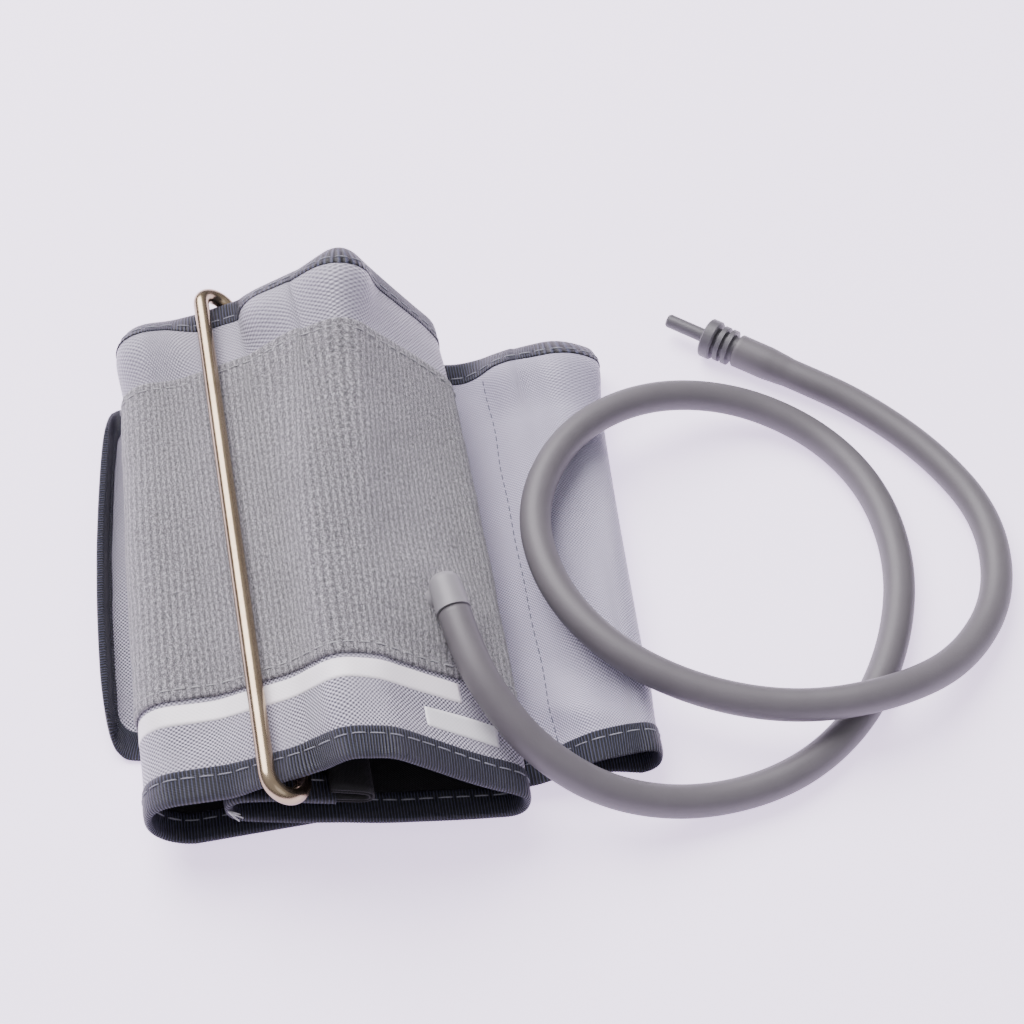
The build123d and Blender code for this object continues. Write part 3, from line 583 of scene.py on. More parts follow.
def stitch_row(s, y, n, side, length, gap, radius, rise, seed):
    """Points and faces of one row of stitches along a line of s and y; side is the face they lie on."""
    centres = on_strip(s, y, n)
    reach = lengths_along(centres)
    starts = np.arange(gap, reach[-1] - length, length + gap)
    slips = np.random.default_rng(seed).uniform(-STITCH_SLIP, STITCH_SLIP, (len(starts), 2))
    at = starts[:, None] + slips[:, :1] + STITCH_SHAPE[:, 0] * (length + slips[:, 1:])
    stitch_s = np.interp(at, reach, s)
    stitch_y = np.interp(at, reach, y)
    heights = n + side * (rise * STITCH_SHAPE[:, 1])
    middle = on_strip(stitch_s, stitch_y, np.broadcast_to(heights, at.shape))
    up = sample(NORMALS, stitch_s, stitch_y) * side
    ahead = unit(np.gradient(middle, axis=1))
    beside = unit(np.cross(ahead, up))
    above = np.cross(beside, ahead)
    return tubes(middle, beside, above, radius * STITCH_SHAPE[:, 2])


def tubes(middle, beside, above, radii, sides=6):
    """Closed tubes through rows of points: middle is (tubes, points, 3)."""
    angles = np.arange(sides) * 2 * math.pi / sides
    ring = np.cos(angles)[:, None] * beside[:, :, None, :] + np.sin(angles)[:, None] * above[:, :, None, :]
    points = middle[:, :, None, :] + ring * np.asarray(radii)[None, :, None, None]
    count, length = middle.shape[:2]
    faces = []
    for k in range(count):
        faces.extend(capped_tube(length, sides, k * length * sides))
    return points.reshape(-1, 3), faces


def thread(name, rows):
    """One object from several rows of stitches."""
    points, faces = [], []
    for row_points, row_faces in rows:
        first = sum(map(len, points))
        points.append(row_points)
        faces.extend([[v + first for v in f] for f in row_faces])
    return new_object(name, np.concatenate(points), faces)


TAPE_STITCH = dict(length=3.3, gap=1.0, radius=0.19, rise=0.14)
STITCH_SINK = 0.12


def tape_thread(name, runs, seed, extra):
    """Long stitches on the upper and the lower face of a binding, after the extra rows."""
    rows = list(extra)
    for k, (s, y, _) in enumerate(runs):
        low = float(np.median(tape_low(s)))
        rows.append(stitch_row(s, y, TAPE_TOP - STITCH_SINK, 1, seed=seed + 2 * k, **TAPE_STITCH))
        rows.append(stitch_row(s, y, low + STITCH_SINK, -1, seed=seed + 2 * k + 1, **TAPE_STITCH))
    return thread(name, rows)


FRAY_X, FRAY_Z, FRAY_R = -40.0, 17.5, 0.3
FRAY_TIPS = ((2.4, -1.4, 0.4), (2.9, -1.7, -0.9), (1.9, -1.8, -1.8), (0.8, -1.6, 1.2), (1.4, -1.9, -0.4))


def frayed_end():
    """Where a stitched row ends on the inner curl, its threads stick out in a small tuft."""
    s = np.array([nearest(FRAY_X, FRAY_Z)])
    root = on_strip(s, edge_y(s, 0) - TAPE_BULGE + 0.1, 0.0)[0]
    share = np.linspace(0, 1, 7)
    middle = root + np.array(FRAY_TIPS)[:, None, :] * np.stack([share, share, share**0.6], -1)
    beside = np.broadcast_to([1.0, 0, 0], middle.shape)
    above = np.broadcast_to([0, 1.0, 0], middle.shape)
    return tubes(middle, beside, above, FRAY_R * (1 - 0.5 * share))


# ---- the sleeve
def swept_y(name, section, y0, y1, step):
    """A closed section of (x, z) points carried along Y."""
    ys = np.linspace(y0, y1, round((y1 - y0) / step) + 1)
    section = np.asarray(section, float)
    rows, columns = len(ys), len(section)
    points = np.zeros((rows, columns, 3))
    points[:, :, 0], points[:, :, 1], points[:, :, 2] = section[:, 0], ys[:, None], section[:, 1]
    uv = np.stack([np.tile(lengths_along(section), (rows, 1)), np.repeat(ys[:, None], columns, 1)], -1)
    return new_object(name, points, capped_tube(rows, columns), uv)


def beside_tab(along, below):
    """A point of the XZ plane, along the sleeve's tab and below its middle."""
    c, s = math.cos(TAB_SLOPE), math.sin(TAB_SLOPE)
    return BAR_X + along * c + below * s, BAR_Z + along * s - below * c


ROUND_POINTS = 29


def round_bar(radius, start, end):
    """An arc round the ring's inner bar, its angles measured from the tab."""
    angles = np.linspace(start, end, ROUND_POINTS)
    return [beside_tab(radius * math.cos(a), radius * math.sin(a)) for a in angles]


def sleeve_section():
    """One cloth folded round the inner bar, its two plies brought together as a tab."""
    ply_out = [(4.0, 1.1), (5.5, 0.65), (7.0, SLEEVE_CLOTH / 2), (TAB_LENGTH, SLEEVE_CLOTH / 2)]
    ply_in = [(TAB_LENGTH, PLY_GAP), (7.0, PLY_GAP), (5.0, 0.1), (3.4, 0.5)]
    shoulder, mouth = math.radians(38), math.radians(18)
    upper = [beside_tab(a, -b) for a, b in ply_out + ply_in]
    lower = [beside_tab(a, b) for a, b in ply_out + ply_in][::-1]
    outer = round_bar(SLEEVE_R, shoulder, 2 * math.pi - shoulder)
    inner = round_bar(WIRE_R + BAR_CLEARANCE, 2 * math.pi - mouth, mouth)
    return outer + upper + inner + lower


# ---- the ring: one wire, two straight bars and two round bends
RING_SIDES, BEND_STEPS, BAR_STEPS = 40, 28, 24


def ring_mesh(name):
    """Rings of points round the wire's closed line, at its two bends and along its two bars."""
    half_gap = math.hypot(OUTER_BAR_X - BAR_X, OUTER_BAR_Z - BAR_Z) / 2
    across = Vector((OUTER_BAR_X - BAR_X, 0, OUTER_BAR_Z - BAR_Z)).normalized()
    middle = Vector(((OUTER_BAR_X + BAR_X) / 2, RING_MIDDLE_Y, (OUTER_BAR_Z + BAR_Z) / 2))
    half = RING_LENGTH / 2 - WIRE_R - half_gap
    along, up = Vector((0, 1, 0)), across.cross(Vector((0, 1, 0)))
    turns = [(math.cos(a), math.sin(a)) for a in np.linspace(-math.pi / 2, math.pi / 2, BEND_STEPS + 1)]
    spots = [(half + half_gap * c, half_gap * s, c, s) for c, s in turns]
    spots += [(-x, -y, -c, -s) for x, y, c, s in spots]
    runs = []
    for (x0, y0, c, s), (x1, y1, _, _) in zip(spots, spots[1:] + spots[:1]):
        pieces = BAR_STEPS if abs(x1 - x0) > half else 1
        for k in range(pieces):
            runs.append((x0 + (x1 - x0) * k / pieces, y0 + (y1 - y0) * k / pieces, c, s))
    points = []
    for x, y, c, s in runs:
        centre = middle + along * x + across * y
        outward = along * c + across * s
        for angle in np.arange(RING_SIDES) * 2 * math.pi / RING_SIDES:
            points.append(centre + (outward * math.cos(angle) + up * math.sin(angle)) * WIRE_R)
    return new_object(name, [tuple(p) for p in points], looped_tube(len(runs), RING_SIDES))


# ==== materials ====
def scaled(colour, share):
    """A colour made darker or lighter."""
    return tuple(min(c * share, 1) for c in colour[:3]) + (1,)


def srgb(red, green, blue):
    """A colour from its 8-bit display values."""
    found = []
    for v in (red, green, blue):
        v = v / 255
        found.append(v / 12.92 if v <= 0.04045 else ((v + 0.055) / 1.055) ** 2.4)
    return (*found, 1.0)


class Paint:
    """A material built from its shader backwards."""

    def __init__(self, name, roughness, **sockets):
        self.material = bpy.data.materials.new(name)
        self.material.use_nodes = True
        self.tree = self.material.node_tree
        self.shader = self.tree.nodes["Principled BSDF"]
        self.shader.inputs["Roughness"].default_value = roughness
        for key, value in sockets.items():
            self.shader.inputs[key.replace("_", " ")].default_value = value

    def node(self, kind, **settings):
        made = self.tree.nodes.new(kind)
        for key, value in settings.items():
            setattr(made, key, value)
        return made

    def feed(self, socket, value):
        if isinstance(value, bpy.types.NodeSocket):
            self.tree.links.new(value, socket)
        else:
            socket.default_value = value

    def fed(self, kind, values, **settings):
        """A new node's first output, with the values on its inputs."""
        made = self.node(kind, **settings)
        for socket, value in zip(made.inputs, values):
            self.feed(socket, value)
        return made.outputs[0]

    def math(self, operation, *values):
        return self.fed("ShaderNodeMath", values, operation=operation)

    def linear(self, value, factor, addend):
        return self.math("MULTIPLY_ADD", value, factor, addend)

    def limited(self, value, low, high):
        return self.math("MINIMUM", self.math("MAXIMUM", value, low), high)

    def map_uv(self):
        """The cloth map's two coordinates, in millimetres."""
        split = self.node("ShaderNodeSeparateXYZ")
        uv = self.node("ShaderNodeUVMap", uv_map="cloth")
        self.tree.links.new(uv.outputs["UV"], split.inputs[0])
        return split.outputs["X"], split.outputs["Y"]

    def place(self):
        """The object's own coordinates, in metres."""
        return self.node("ShaderNodeTexCoord").outputs["Object"]

    def joined(self, x, y):
        return self.fed("ShaderNodeCombineXYZ", (x, y, 0.0))

    def noise(self, vector, scale, detail=2.0, roughness=0.5):
        made = self.node("ShaderNodeTexNoise")
        self.feed(made.inputs["Vector"], vector)
        made.inputs["Scale"].default_value = scale
        made.inputs["Detail"].default_value = detail
        made.inputs["Roughness"].default_value = roughness
        return made.outputs["Fac"]

    def wave(self, coordinate, pitch):
        return self.math("SINE", self.math("MULTIPLY", coordinate, 2 * math.pi / pitch))

    def weave(self, u, v, pitch):
        """1 on the crowns of a plain weave's threads, and 0 between them."""
        over = self.math("MULTIPLY", self.wave(u, pitch), self.wave(v, pitch))
        return self.linear(over, 0.5, 0.5)

    def ramp(self, value, *stops):
        made = self.node("ShaderNodeValToRGB")
        self.feed(made.inputs[0], value)
        elements = made.color_ramp.elements
        while len(elements) < len(stops):
            elements.new(0.5)
        for element, (position, colour) in zip(elements, stops):
            element.position = position
            element.color = colour
        return made.outputs["Color"]

    def toned(self, base, shade, low, high):
        """A colour made darker and lighter in patches."""
        made = self.node("ShaderNodeMix", data_type="RGBA", blend_type="MULTIPLY")
        made.inputs[0].default_value = 1.0
        self.feed(made.inputs[6], base)
        self.feed(made.inputs[7], self.ramp(shade, (0.3, (*low, 1)), (0.7, (*high, 1))))
        return made.outputs[2]

    def colour(self, value):
        self.feed(self.shader.inputs["Base Color"], value)

    def rough(self, value):
        self.feed(self.shader.inputs["Roughness"], value)

    def bump(self, height, distance, strength=1.0):
        made = self.node("ShaderNodeBump")
        made.inputs["Strength"].default_value = strength
        made.inputs["Distance"].default_value = distance * MM
        self.feed(made.inputs["Height"], height)
        self.tree.links.new(made.outputs[0], self.shader.inputs["Normal"])


WEAVE_PITCH = 1.05
# how clear the weave's painted highlights and shade are: less towards the back edge, and in patches; unclear
# threads fade to one level
CLARITY_LOSS, CLARITY_MIDDLE, WEAVE_LEVEL = 0.012, 0.75, 0.52


def woven(name, dark, light, pitch, depth, roughness, sheen=0.0):
    """A plain weave: raised threads in a checker, painted light on their crowns as highlight and dark
    between them as shade, with slow shade changes from wear.
    """
    paint = Paint(name, roughness, Sheen_Weight=sheen)
    u, v = paint.map_uv()
    height = paint.weave(u, v, pitch)
    grain = paint.noise(paint.joined(u, v), 2.6, 2.0)
    lit = paint.math("ADD", paint.math("MULTIPLY", height, 0.8), paint.math("MULTIPLY", grain, 0.25))
    shade = paint.noise(paint.joined(u, v), 0.035, 3.0)
    patchy = paint.linear(paint.noise(paint.joined(v, u), 0.05, 2.0), 2.6, -0.6)
    towards_back = paint.linear(v, -CLARITY_LOSS, CLARITY_MIDDLE)
    clear = paint.math("MULTIPLY", paint.limited(patchy, 0.35, 1.0), paint.limited(towards_back, 0.3, 1.0))
    lit = paint.linear(paint.math("SUBTRACT", lit, WEAVE_LEVEL), clear, WEAVE_LEVEL)
    # painted highlight on the thread crowns and painted shade in the gaps between them
    base = paint.ramp(lit, (0.3, dark), (0.88, light))
    paint.colour(paint.toned(base, shade, (0.93, 0.93, 0.94), (1.05, 1.05, 1.05)))
    paint.bump(height, depth)
    return paint.material


WARP_PITCH = 0.34


def ribbed(name, dark, light, pitch, depth, roughness):
    """Tape with cross ribs and fine warp threads, painted light on the rib crowns as highlight and near
    black in the grooves as shade.
    """
    paint = Paint(name, roughness, Sheen_Weight=0.04)
    u, v = paint.map_uv()
    rib = paint.linear(paint.math("COSINE", paint.math("MULTIPLY", u, 2 * math.pi / pitch)), 0.5, 0.5)
    warp = paint.linear(paint.wave(v, WARP_PITCH), 0.5, 0.5)
    fuzz = paint.noise(paint.joined(u, v), 3.0, 2.0)
    lit = paint.math("MULTIPLY", rib, paint.linear(warp, 0.3, 0.7))
    # painted highlight on the rib crowns and warp threads, painted shade near black in the grooves, over the
    # tape's navy
    paint.colour(paint.ramp(paint.linear(fuzz, 0.2, lit), (0.5, dark), (1.05, light)))
    paint.bump(paint.linear(warp, 0.3, rib), depth)
    return paint.material


WALE_PITCH = 1.55


def piled():
    """The loop pile: a grey plush with rows of small loops, with painted shade at their roots and painted
    light on their tips.
    """
    paint = Paint("loop_pile", 0.95, Sheen_Weight=0.35, Sheen_Roughness=0.6)
    u, v = paint.map_uv()
    at = paint.joined(u, v)
    streaks = paint.noise(paint.joined(u, paint.math("MULTIPLY", v, 0.4)), 2.5, 3.0, 0.6)
    loops = paint.noise(at, 3.8, 3.0, 0.65)
    wale = paint.math("MULTIPLY", paint.wave(u, WALE_PITCH), 0.035)
    tuft = paint.math("ADD", paint.math("MULTIPLY", streaks, 0.5), paint.math("MULTIPLY", loops, 0.5))
    height = paint.math("ADD", tuft, wale)
    patches = paint.noise(at, 0.06, 3.0)
    # painted shade down among the loops and painted light on their tips, by the pile's height
    shaded_roots, loop_sides, lit_tips = srgb(50, 49, 54), srgb(116, 114, 120), srgb(200, 197, 204)
    base = paint.ramp(height, (0.38, shaded_roots), (0.5, loop_sides), (0.63, lit_tips))
    paint.colour(paint.toned(base, patches, (0.92, 0.92, 0.92), (1.05, 1.05, 1.05)))
    paint.bump(height, 0.9, 0.9)
    return paint.material


def mottled(name, low, high, roughness, scale, detail=3.0, grit=0.5, spread=0.2, **sockets):
    """A plain material in cloudy patches of two colours; also gives the clouds themselves."""
    paint = Paint(name, roughness, **sockets)
    clouds = paint.noise(paint.place(), scale, detail, grit)
    paint.colour(paint.ramp(clouds, (0.5 - spread, low), (0.5 + spread, high)))
    return paint, clouds


MOTTLE = 0.05


def moulded(name, colour, roughness, grain, depth):
    """Rubber or plastic: faint mottling, and a fine skin that breaks up the gloss."""
    low, high = scaled(colour, 1 - MOTTLE), scaled(colour, 1 + MOTTLE)
    paint, clouds = mottled(name, low, high, roughness, grain * 0.08, 4.0, 0.6)
    paint.rough(paint.linear(clouds, 0.16, roughness - 0.08))
    paint.bump(paint.noise(paint.place(), grain, 3.0, 0.6), depth)
    return paint.material


def plated():
    """Polished nickel with faint drawing marks."""
    low, high = srgb(154, 137, 114), srgb(170, 153, 129)
    paint, marks = mottled("nickel_wire", low, high, 0.14, 160.0, grit=0.6, Metallic=1.0)
    paint.rough(paint.linear(marks, 0.08, 0.19))
    paint.bump(marks, 0.02, 0.3)
    return paint.material


def spun(name, colour, roughness):
    """Sewing thread, with its twist."""
    low = scaled(colour, 0.72)
    paint, twist = mottled(name, low, colour, roughness, 2600.0, 2.0, spread=0.15, Sheen_Weight=0.1)
    paint.bump(twist, 0.05)
    return paint.material


def printed(name, colour, roughness):
    """White print on the weave, which shows through it."""
    paint = Paint(name, roughness)
    u, v = paint.map_uv()
    height = paint.weave(u, v, WEAVE_PITCH)
    paint.colour(paint.ramp(height, (0.1, scaled(colour, 0.93)), (0.7, colour)))
    paint.bump(height, 0.05, 0.6)
    return paint.material


def filmed():
    """The bladder's milky film."""
    paint, cloud = mottled("bladder_film", srgb(150, 150, 150), srgb(176, 176, 174), 0.35, 60.0)
    paint.bump(cloud, 0.2)
    return paint.material


FLOOR_GLOW = 1.7


def floor_paint():
    """The pale, faintly clouded table, with a glow that stands for a brighter room's light."""
    paint, _ = mottled("floor", srgb(238, 234, 243), srgb(241, 237, 246), 0.75, 3.0, 2.0)
    paint.shader.inputs["Emission Color"].default_value = srgb(236, 214, 255)
    paint.shader.inputs["Emission Strength"].default_value = FLOOR_GLOW
    return paint.material


NYLON = woven("nylon_weave", srgb(60, 57, 74), srgb(238, 233, 250), WEAVE_PITCH, 0.26, 0.34, 0.15)
FLAP_NYLON = woven("flap_weave", srgb(118, 114, 136), srgb(220, 214, 236), 0.85, 0.14, 0.38, 0.15)
# the lining is black cloth, made darker still as painted shade for the insides of the rolls
LINING_AND_SHADE_CLOTH = woven("lining_and_shade_weave", srgb(7, 7, 10), srgb(18, 18, 23), 0.6, 0.08, 0.7)
HOOK_CLOTH = woven("hook_tape", srgb(104, 105, 112), srgb(148, 149, 156), 1.1, 0.2, 0.6)
SLEEVE_WEAVE = woven("sleeve_weave", srgb(12, 12, 16), srgb(28, 28, 36), 0.7, 0.1, 0.7)
TAPE_CLOTH = ribbed("binding_tape", srgb(2, 2, 6), srgb(66, 69, 94), RIB_PITCH, 0.2, 0.42)
PILE = piled()
WHITE_PRINT = printed("white_print", srgb(255, 250, 255), 0.4)
WHITE_LABEL = printed("white_label", srgb(240, 239, 243), 0.45)
BLADDER = filmed()
HOSE_RUBBER = moulded("hose_rubber", srgb(97, 94, 98), 0.5, 1600.0, 0.04)
PLUG_PLASTIC = moulded("plug_plastic", srgb(90, 88, 93), 0.42, 1300.0, 0.03)
PORT_PLASTIC = moulded("port_plastic", srgb(136, 134, 138), 0.45, 1300.0, 0.03)
NICKEL = plated()
TAPE_THREAD = spun("binding_thread", srgb(140, 141, 152), 0.6)
FRAYED_THREAD = spun("frayed_thread", srgb(240, 240, 243), 0.8)
PANEL_THREAD = spun("panel_thread", srgb(176, 176, 180), 0.7)
DARK_THREAD = spun("dark_thread", srgb(92, 94, 108), 0.7)


def finish_piece(obj, paint, slot, *nodes, body="cuff"):
    """Gives a piece its material and its body, and hides the CAD parts that it stands for."""
    obj.data.materials.append(paint)
    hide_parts(*nodes)
    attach(obj, body)
    return obj


# ==== the cloth pieces ====
HEMS = (HEM_INSET, HEM_INSET)
FOLD_SHADE_START, LOOP_RAG, LOOP_BORDER = 4.0, 0.1, 3.0
cover_s, cover_y = patch(0.0, STRIP_LENGTH, HEMS, 0.8, 1.4)
cover = layer("cover_cloth", cover_s, cover_y, *COVER_N)
finish_piece(cover, NYLON, "nylon_cover", "outer_cover")
# the cover's stretch from the sleeve through the first fold takes the near-black lining cloth as painted
# shade
cover.data.materials.append(LINING_AND_SHADE_CLOTH)
cover_uv = cover.data.uv_layers["cloth"].data
for polygon in cover.data.polygons:
    if cover_uv[polygon.loop_start].uv[0] < S_FOLD_END + FOLD_SHADE_START:
        polygon.material_index = 1

lining = layer("lining_cloth", *patch(0.0, S_LINING_END, HEMS, 1.2, 2.0), *LINING_N)
finish_piece(lining, LINING_AND_SHADE_CLOTH, "nylon_lining", "inner_lining")

tail_cloth = layer("tail_cloth", *patch(S_LINING_END + 1, STRIP_LENGTH, HEMS, 0.7, 1.4), *TAIL_LINING_N)
finish_piece(tail_cloth, FLAP_NYLON, "nylon_cover", "tail_lining")

loop_s, loop_y = patch(*S_LOOP, LOOP_INSET, 0.5, 0.75)
ruffle = value_noise(loop_s, loop_y, 9.0, 7.0, 3)
loop_y[:, 0] += LOOP_RAG * value_noise(loop_s[:, 0], np.zeros(len(loop_s)), 1.3, 5.0, 4)
tufts = 0.12 * value_noise(loop_s, loop_y, 1.3, 2.0, 5) + 0.1 * value_noise(loop_s, loop_y, 2.3, 3.4, 6)
tufts = tufts + 0.03 * np.sin(2 * math.pi * loop_s / WALE_PITCH) + 0.1 * ruffle
# the tufts lie down round the port, along the panel's two borders and under the roll
round_port = 0.3 + 0.7 * smooth(5.5, 10.0, np.hypot(loop_s - S_PORT, loop_y - ELBOW_Y))
to_border = np.minimum(loop_y - loop_y[:, :1], loop_y[:, -1:] - loop_y)
under_roll = 1 - 0.85 * smooth(S_ROLL - 8, S_ROLL, loop_s)
standing = tufts * round_port * (smooth(0.0, LOOP_BORDER, to_border) * under_roll)
loop = layer("loop_cloth", loop_s, loop_y, LOOP_N[0], LOOP_N[1] + standing, 0.3)
finish_piece(loop, PILE, "loop_pile", "loop_panel")

hook_s, hook_y = patch(*S_HOOK, HOOK_INSET, 0.6, 0.8)
stubble = 0.05 * value_noise(hook_s, hook_y, 2.1, 2.9, 8)
hook = layer("hook_cloth", hook_s, hook_y, HOOK_N[0], HOOK_N[1] + stubble, 0.3)
finish_piece(hook, HOOK_CLOTH, "hook_tape", "hook_panel")

stripe = layer("stripe_print", *band(S_STRIPE_START, S_ROLL, *STRIPE_INSET, 0.9, 0.9), *PRINT_N, 0.45)
finish_piece(stripe, WHITE_PRINT, "white_print", "range_stripe")
label = layer("label_print", *band(*S_LABEL, *LABEL_INSET, 0.8, 0.8), *LABEL_N, 0.4)
finish_piece(label, WHITE_LABEL, "white_label", "index_label")

film_grid = patch(*S_BLADDER, BLADDER_INSET, 1.5, 2.5)
outer_film = layer("bladder_outer_film", *film_grid, *BLADDER_OUT_N)
finish_piece(outer_film, BLADDER, "bladder_film", "bladder_outer_sheet")
inner_film = layer("bladder_inner_film", *film_grid, *BLADDER_IN_N)
finish_piece(inner_film, BLADDER, "bladder_film", "bladder_inner_sheet")

# ==== bindings and threads ====
RIB_STEP = RIB_PITCH / RIB_STEPS
TAPE_SEAM, LOOP_SEAM, SEAM_STEP = 5.0, 2.6, 0.5
for back, word in enumerate(("front", "rear")):
    piece = tape(f"{word}_tape", edge_run(S_FOLD_END, S_TAIL_TAPE, back, 0.0, RIB_STEP), 11 + back)
    finish_piece(piece, TAPE_CLOTH, "binding_tape", f"{word}_binding")
    stretches = ((S_FOLD_END + 1, S_LINING_END), (S_LINING_END + 6, S_TAIL_TAPE))
    runs = [edge_run(s0, s1, back, TAPE_SEAM, SEAM_STEP) for s0, s1 in stretches]
    tuft = [] if back else [frayed_end()]
    piece = tape_thread(f"{word}_tape_stitches", runs, 21 + 10 * back, tuft)
    finish_piece(piece, TAPE_THREAD, "binding_thread", f"{word}_binding_thread")
    for _, tuft_faces in tuft:
        piece.data.materials.append(FRAYED_THREAD)
        for polygon in piece.data.polygons[:len(tuft_faces)]:
            polygon.material_index = 1
piece = tape("tail_tape", tail_run(0.0, RIB_STEP), 13)
finish_piece(piece, TAPE_CLOTH, "binding_tape", "tail_binding")

LOOP_STITCH = dict(length=2.4, gap=1.3, radius=0.2, rise=0.1)
for back, word in enumerate(("front", "rear")):
    s, y, _ = edge_run(S_LOOP[0] + 1, S_ROLL, back, LOOP_INSET[back] + LOOP_SEAM, SEAM_STEP)
    row = stitch_row(s, y, LOOP_N[1] + 0.02, 1, seed=41 + 5 * back, **LOOP_STITCH)
    piece = thread(f"loop_{word}_stitches", [row])
    finish_piece(piece, PANEL_THREAD, "panel_thread", f"loop_{word}_thread")

seam_front, seam_back = (float(edge_y(S_SEAM, back)) for back in (0, 1))
seam_y = np.arange(seam_front + TAPE_WIDTH + 0.5, seam_back - TAPE_WIDTH - 0.5, SEAM_STEP)
seam_s = S_SEAM + 0.25 * value_noise(seam_y, seam_y * 0, 12.0, 5.0, 9)
POCKET_STITCH = dict(length=1.7, gap=0.9, radius=0.16, rise=0.02)
seam_row = stitch_row(seam_s, seam_y, TAIL_LINING_N[0], -1, seed=51, **POCKET_STITCH)
seam = thread("pocket_seam_stitches", [seam_row])
finish_piece(seam, DARK_THREAD, "dark_thread", "pocket_seam_thread")

# ==== the ring and its sleeve ====
sleeve_ends = (RING_MIDDLE_Y - SLEEVE_HALF, RING_MIDDLE_Y + SLEEVE_HALF)
sleeve = swept_y("sleeve_cloth", sleeve_section(), *sleeve_ends, 1.5)
finish_piece(sleeve, SLEEVE_WEAVE, "sleeve_cloth", "ring_sleeve")
ring = ring_mesh("nickel_ring")
finish_piece(ring, NICKEL, "ring_metal", "metal_ring", body="ring")


SLEEVE_STITCH, SLEEVE_PITCH, SLEEVE_STITCH_R, SLEEVE_STITCH_RISE = 2.3, 3.2, 0.17, 0.12


def sleeve_stitches():
    """Two seams across the sleeve's tab, seen on both of its faces."""
    half = SLEEVE_HALF - 3.0
    ys = np.arange(RING_MIDDLE_Y - half, RING_MIDDLE_Y + half - 2.2, SLEEVE_PITCH)
    rows = []
    for along in SLEEVE_SEAM:
        for below in (SLEEVE_CLOTH / 2, -SLEEVE_CLOTH / 2):
            x, z = beside_tab(along, below)
            outward = np.array(beside_tab(0, math.copysign(SLEEVE_STITCH_RISE, below))) - (BAR_X, BAR_Z)
            middle = np.zeros((len(ys), len(STITCH_SHAPE), 3))
            middle[:, :, 0] = x + outward[0] * STITCH_SHAPE[:, 1]
            middle[:, :, 1] = ys[:, None] + SLEEVE_STITCH * STITCH_SHAPE[:, 0]
            middle[:, :, 2] = z + outward[1] * STITCH_SHAPE[:, 1]
            beside = np.broadcast_to([1.0, 0, 0], middle.shape)
            above = np.broadcast_to([0, 0, 1.0], middle.shape)
            rows.append(tubes(middle, beside, above, np.full(len(STITCH_SHAPE), SLEEVE_STITCH_R)))
    return thread("sleeve_stitches", rows)


finish_piece(sleeve_stitches(), DARK_THREAD, "dark_thread", "sleeve_thread")

# ==== the hose ====
HOSE_BULGE, BULGE_LENGTH, HOSE_SIDES, HOSE_BORE_R = 0.6, 16.0, 40, 2.2
# each step of an end's lip: how far from the end, and the radius
HOSE_LIP = ((0.0, HOSE_BORE_R), (0.0, HOSE_D / 2 - 0.6), (0.15, HOSE_D / 2 - 0.25), (0.45, HOSE_D / 2))
LIP_END, BORE_STEP = 0.8, 12
# how far the bore runs straight inside each end
STRAIGHT_START, STRAIGHT_END = 9.0, 9.0
# the barb's ridge, which shows through the hose
RIDGE_AT, RIDGE_WIDTH, RIDGE_HEIGHT = 14.0, 1.2, 0.12


def hose_line():
    """The hose's centreline, sampled from the NURBS curve that its points control."""
    curve = bpy.data.curves.new("hose_route", "CURVE")
    curve.dimensions = "3D"
    spline = curve.splines.new("NURBS")
    spline.points.add(len(HOSE_POINTS) - 1)
    for point, place in zip(spline.points, HOSE_POINTS):
        point.co = (*(v * MM for v in place), 1.0)
    spline.order_u = 3
    spline.use_endpoint_u = True
    spline.resolution_u = 24
    holder = bpy.data.objects.new("hose_route", curve)
    mesh = bpy.data.meshes.new_from_object(holder)
    found = np.array([v.co for v in mesh.vertices]) / MM
    bpy.data.objects.remove(holder)
    bpy.data.curves.remove(curve)
    bpy.data.meshes.remove(mesh)
    keep = np.concatenate([[True], np.linalg.norm(np.diff(found, axis=0), axis=1) > 1e-4])
    return found[keep]


def hose_mesh(name, centre):
    """A hose with thick walls, a swollen end over the plug's barb, and rounded lips."""
    ahead = unit(np.gradient(centre, axis=0))
    side = np.cross(ahead[0], (0, 0, 1.0))
    sides = []
    for direction in ahead:
        side = unit(side - direction * (side @ direction))
        sides.append(side)
    sides = np.array(sides)
    ups = np.cross(ahead, sides)
    reach = lengths_along(centre)
    to_end = reach[-1] - reach
    radius = HOSE_D / 2 + HOSE_BULGE * (1 - smooth(BULGE_LENGTH * 0.55, BULGE_LENGTH, to_end))
    radius = radius + RIDGE_HEIGHT * np.exp(-(((to_end - RIDGE_AT) / RIDGE_WIDTH) ** 2))
    radius = radius + 0.025 * value_noise(reach, reach * 0, 40.0, 5.0, 61)
    angles = np.arange(HOSE_SIDES) * 2 * math.pi / HOSE_SIDES
    ring = np.cos(angles)[None, :, None] * sides[:, None] + np.sin(angles)[None, :, None] * ups[:, None]
    rows = [centre[0] + ahead[0] * inward + ring[0] * r for inward, r in HOSE_LIP]
    inside = np.flatnonzero((reach > LIP_END) & (to_end > LIP_END))
    rows += [centre[i] + ring[i] * radius[i] for i in inside]
    for inward, r in reversed(HOSE_LIP):
        swell = HOSE_BULGE if r > HOSE_BORE_R else 0.0
        rows.append(centre[-1] - ahead[-1] * inward + ring[-1] * (r + swell))
    rows.append(centre[-1] - ahead[-1] * STRAIGHT_END + ring[-1] * HOSE_BORE_R)
    for i in inside[::-BORE_STEP]:
        if reach[i] > STRAIGHT_START and to_end[i] > STRAIGHT_END + 1:
            rows.append(centre[i] + ring[i] * HOSE_BORE_R)
    return new_object(name, np.concatenate(rows), looped_tube(len(rows), HOSE_SIDES))


centreline = hose_line()
hose = hose_mesh("rubber_hose", centreline)
finish_piece(hose, HOSE_RUBBER, "hose_rubber", "air_hose")

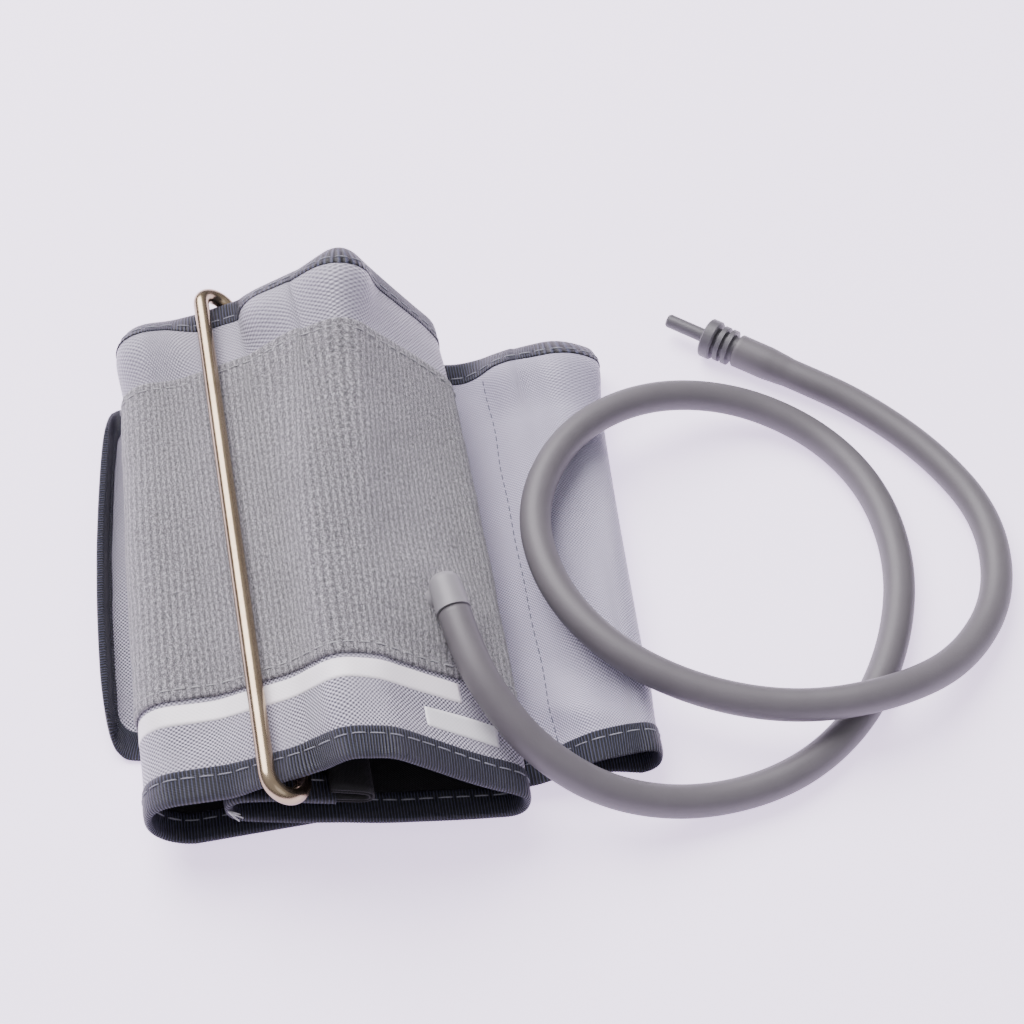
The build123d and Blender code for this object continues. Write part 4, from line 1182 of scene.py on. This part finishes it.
for node, paint in (("port_elbow", PORT_PLASTIC), ("port_flange", PORT_PLASTIC), ("air_plug", PLUG_PLASTIC)):
    for material_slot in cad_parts[node].material_slots:
        material_slot.material = paint


def cloth_sheet(piece, s0, s1, insets, rests_on, with_pieces=()):
    """Works out a layer's flat widths along the strip, which are not kept or used."""
    s = np.arange(s0, s1, 1.0)
    widths = edge_y(s, 1) - edge_y(s, 0) - sum(insets)


cloth_sheet(cover, 0.0, STRIP_LENGTH, HEMS, ["floor"], [stripe, label])
cloth_sheet(lining, 0.0, S_LINING_END, HEMS, [cover])
cloth_sheet(tail_cloth, S_LINING_END + 1, STRIP_LENGTH, HEMS, [cover])
cloth_sheet(loop, *S_LOOP, LOOP_INSET, [cover])
cloth_sheet(hook, *S_HOOK, HOOK_INSET, [cover])
for film in (outer_film, inner_film):
    cloth_sheet(film, *S_BLADDER, BLADDER_INSET, [lining])

# ==== the set: floor, light and camera ====
FLOOR_HALF = 3.0
floor_mesh = bpy.data.meshes.new("floor")
floor_mesh.from_pydata([(x, y, 0) for x, y in ((-1, -1), (1, -1), (1, 1), (-1, 1))], [], [(0, 1, 2, 3)])
floor_mesh.transform(Matrix.Scale(FLOOR_HALF, 4))
floor_mesh.materials.append(floor_paint())
placed("floor", floor_mesh)


def area_light(name, place, size, power, colour):
    """A round soft light turned to the origin."""
    data = bpy.data.lights.new(name, "AREA")
    data.shape = "DISK"
    data.size = size
    data.energy = power
    data.color = colour
    lamp = placed(name, data)
    lamp.location = place
    lamp.rotation_euler = (-Vector(place)).to_track_quat("-Z", "Y").to_euler()


area_light("key", (-0.45, 1.0, 1.4), 1.7, 72.0, (1.0, 0.955, 1.0))
area_light("fill", (0.9, -1.0, 1.3), 1.2, 3.0, (0.97, 0.95, 1.0))

# the sky runs from dark to pale with height
SKY_STOPS = ((0.08, (0.10, 0.095, 0.11, 1.0)), (0.6, (0.98, 0.95, 1.0, 1.0)))
SKY_STRENGTH = 0.72
world = bpy.data.worlds.new("studio")
world.use_nodes = True
tree = world.node_tree
background = tree.nodes["Background"]
background.inputs["Strength"].default_value = SKY_STRENGTH
kinds = ("TexCoord", "Mapping", "TexGradient", "ValToRGB")
direction, turned, sky, shade = (tree.nodes.new(f"ShaderNode{kind}") for kind in kinds)
turned.inputs["Rotation"].default_value = (0.0, math.radians(90), 0.0)
for element, (position, colour) in zip(shade.color_ramp.elements, SKY_STOPS):
    element.position = position
    element.color = colour
tree.links.new(direction.outputs["Generated"], turned.inputs["Vector"])
tree.links.new(turned.outputs["Vector"], sky.inputs["Vector"])
tree.links.new(sky.outputs["Fac"], shade.inputs["Fac"])
tree.links.new(shade.outputs["Color"], background.inputs["Color"])
bpy.context.scene.world = world

TARGET = Vector((41.2, 14.1, 0.0)) * MM
CAMERA_AZIMUTH, CAMERA_ELEVATION, CAMERA_DISTANCE = math.radians(-11.0), math.radians(53.0), 538.43 * MM
back_to_camera = Vector((
    math.sin(CAMERA_AZIMUTH) * math.cos(CAMERA_ELEVATION),
    -math.cos(CAMERA_AZIMUTH) * math.cos(CAMERA_ELEVATION),
    math.sin(CAMERA_ELEVATION),
))
camera_data = bpy.data.cameras.new("photo_view")
camera_data.lens = 72.07
camera_data.sensor_width = 36.0
camera = placed("photo_view", camera_data)
camera.location = TARGET + back_to_camera * CAMERA_DISTANCE
camera.rotation_euler = (-back_to_camera).to_track_quat("-Z", "Y").to_euler()
bpy.context.scene.camera = camera
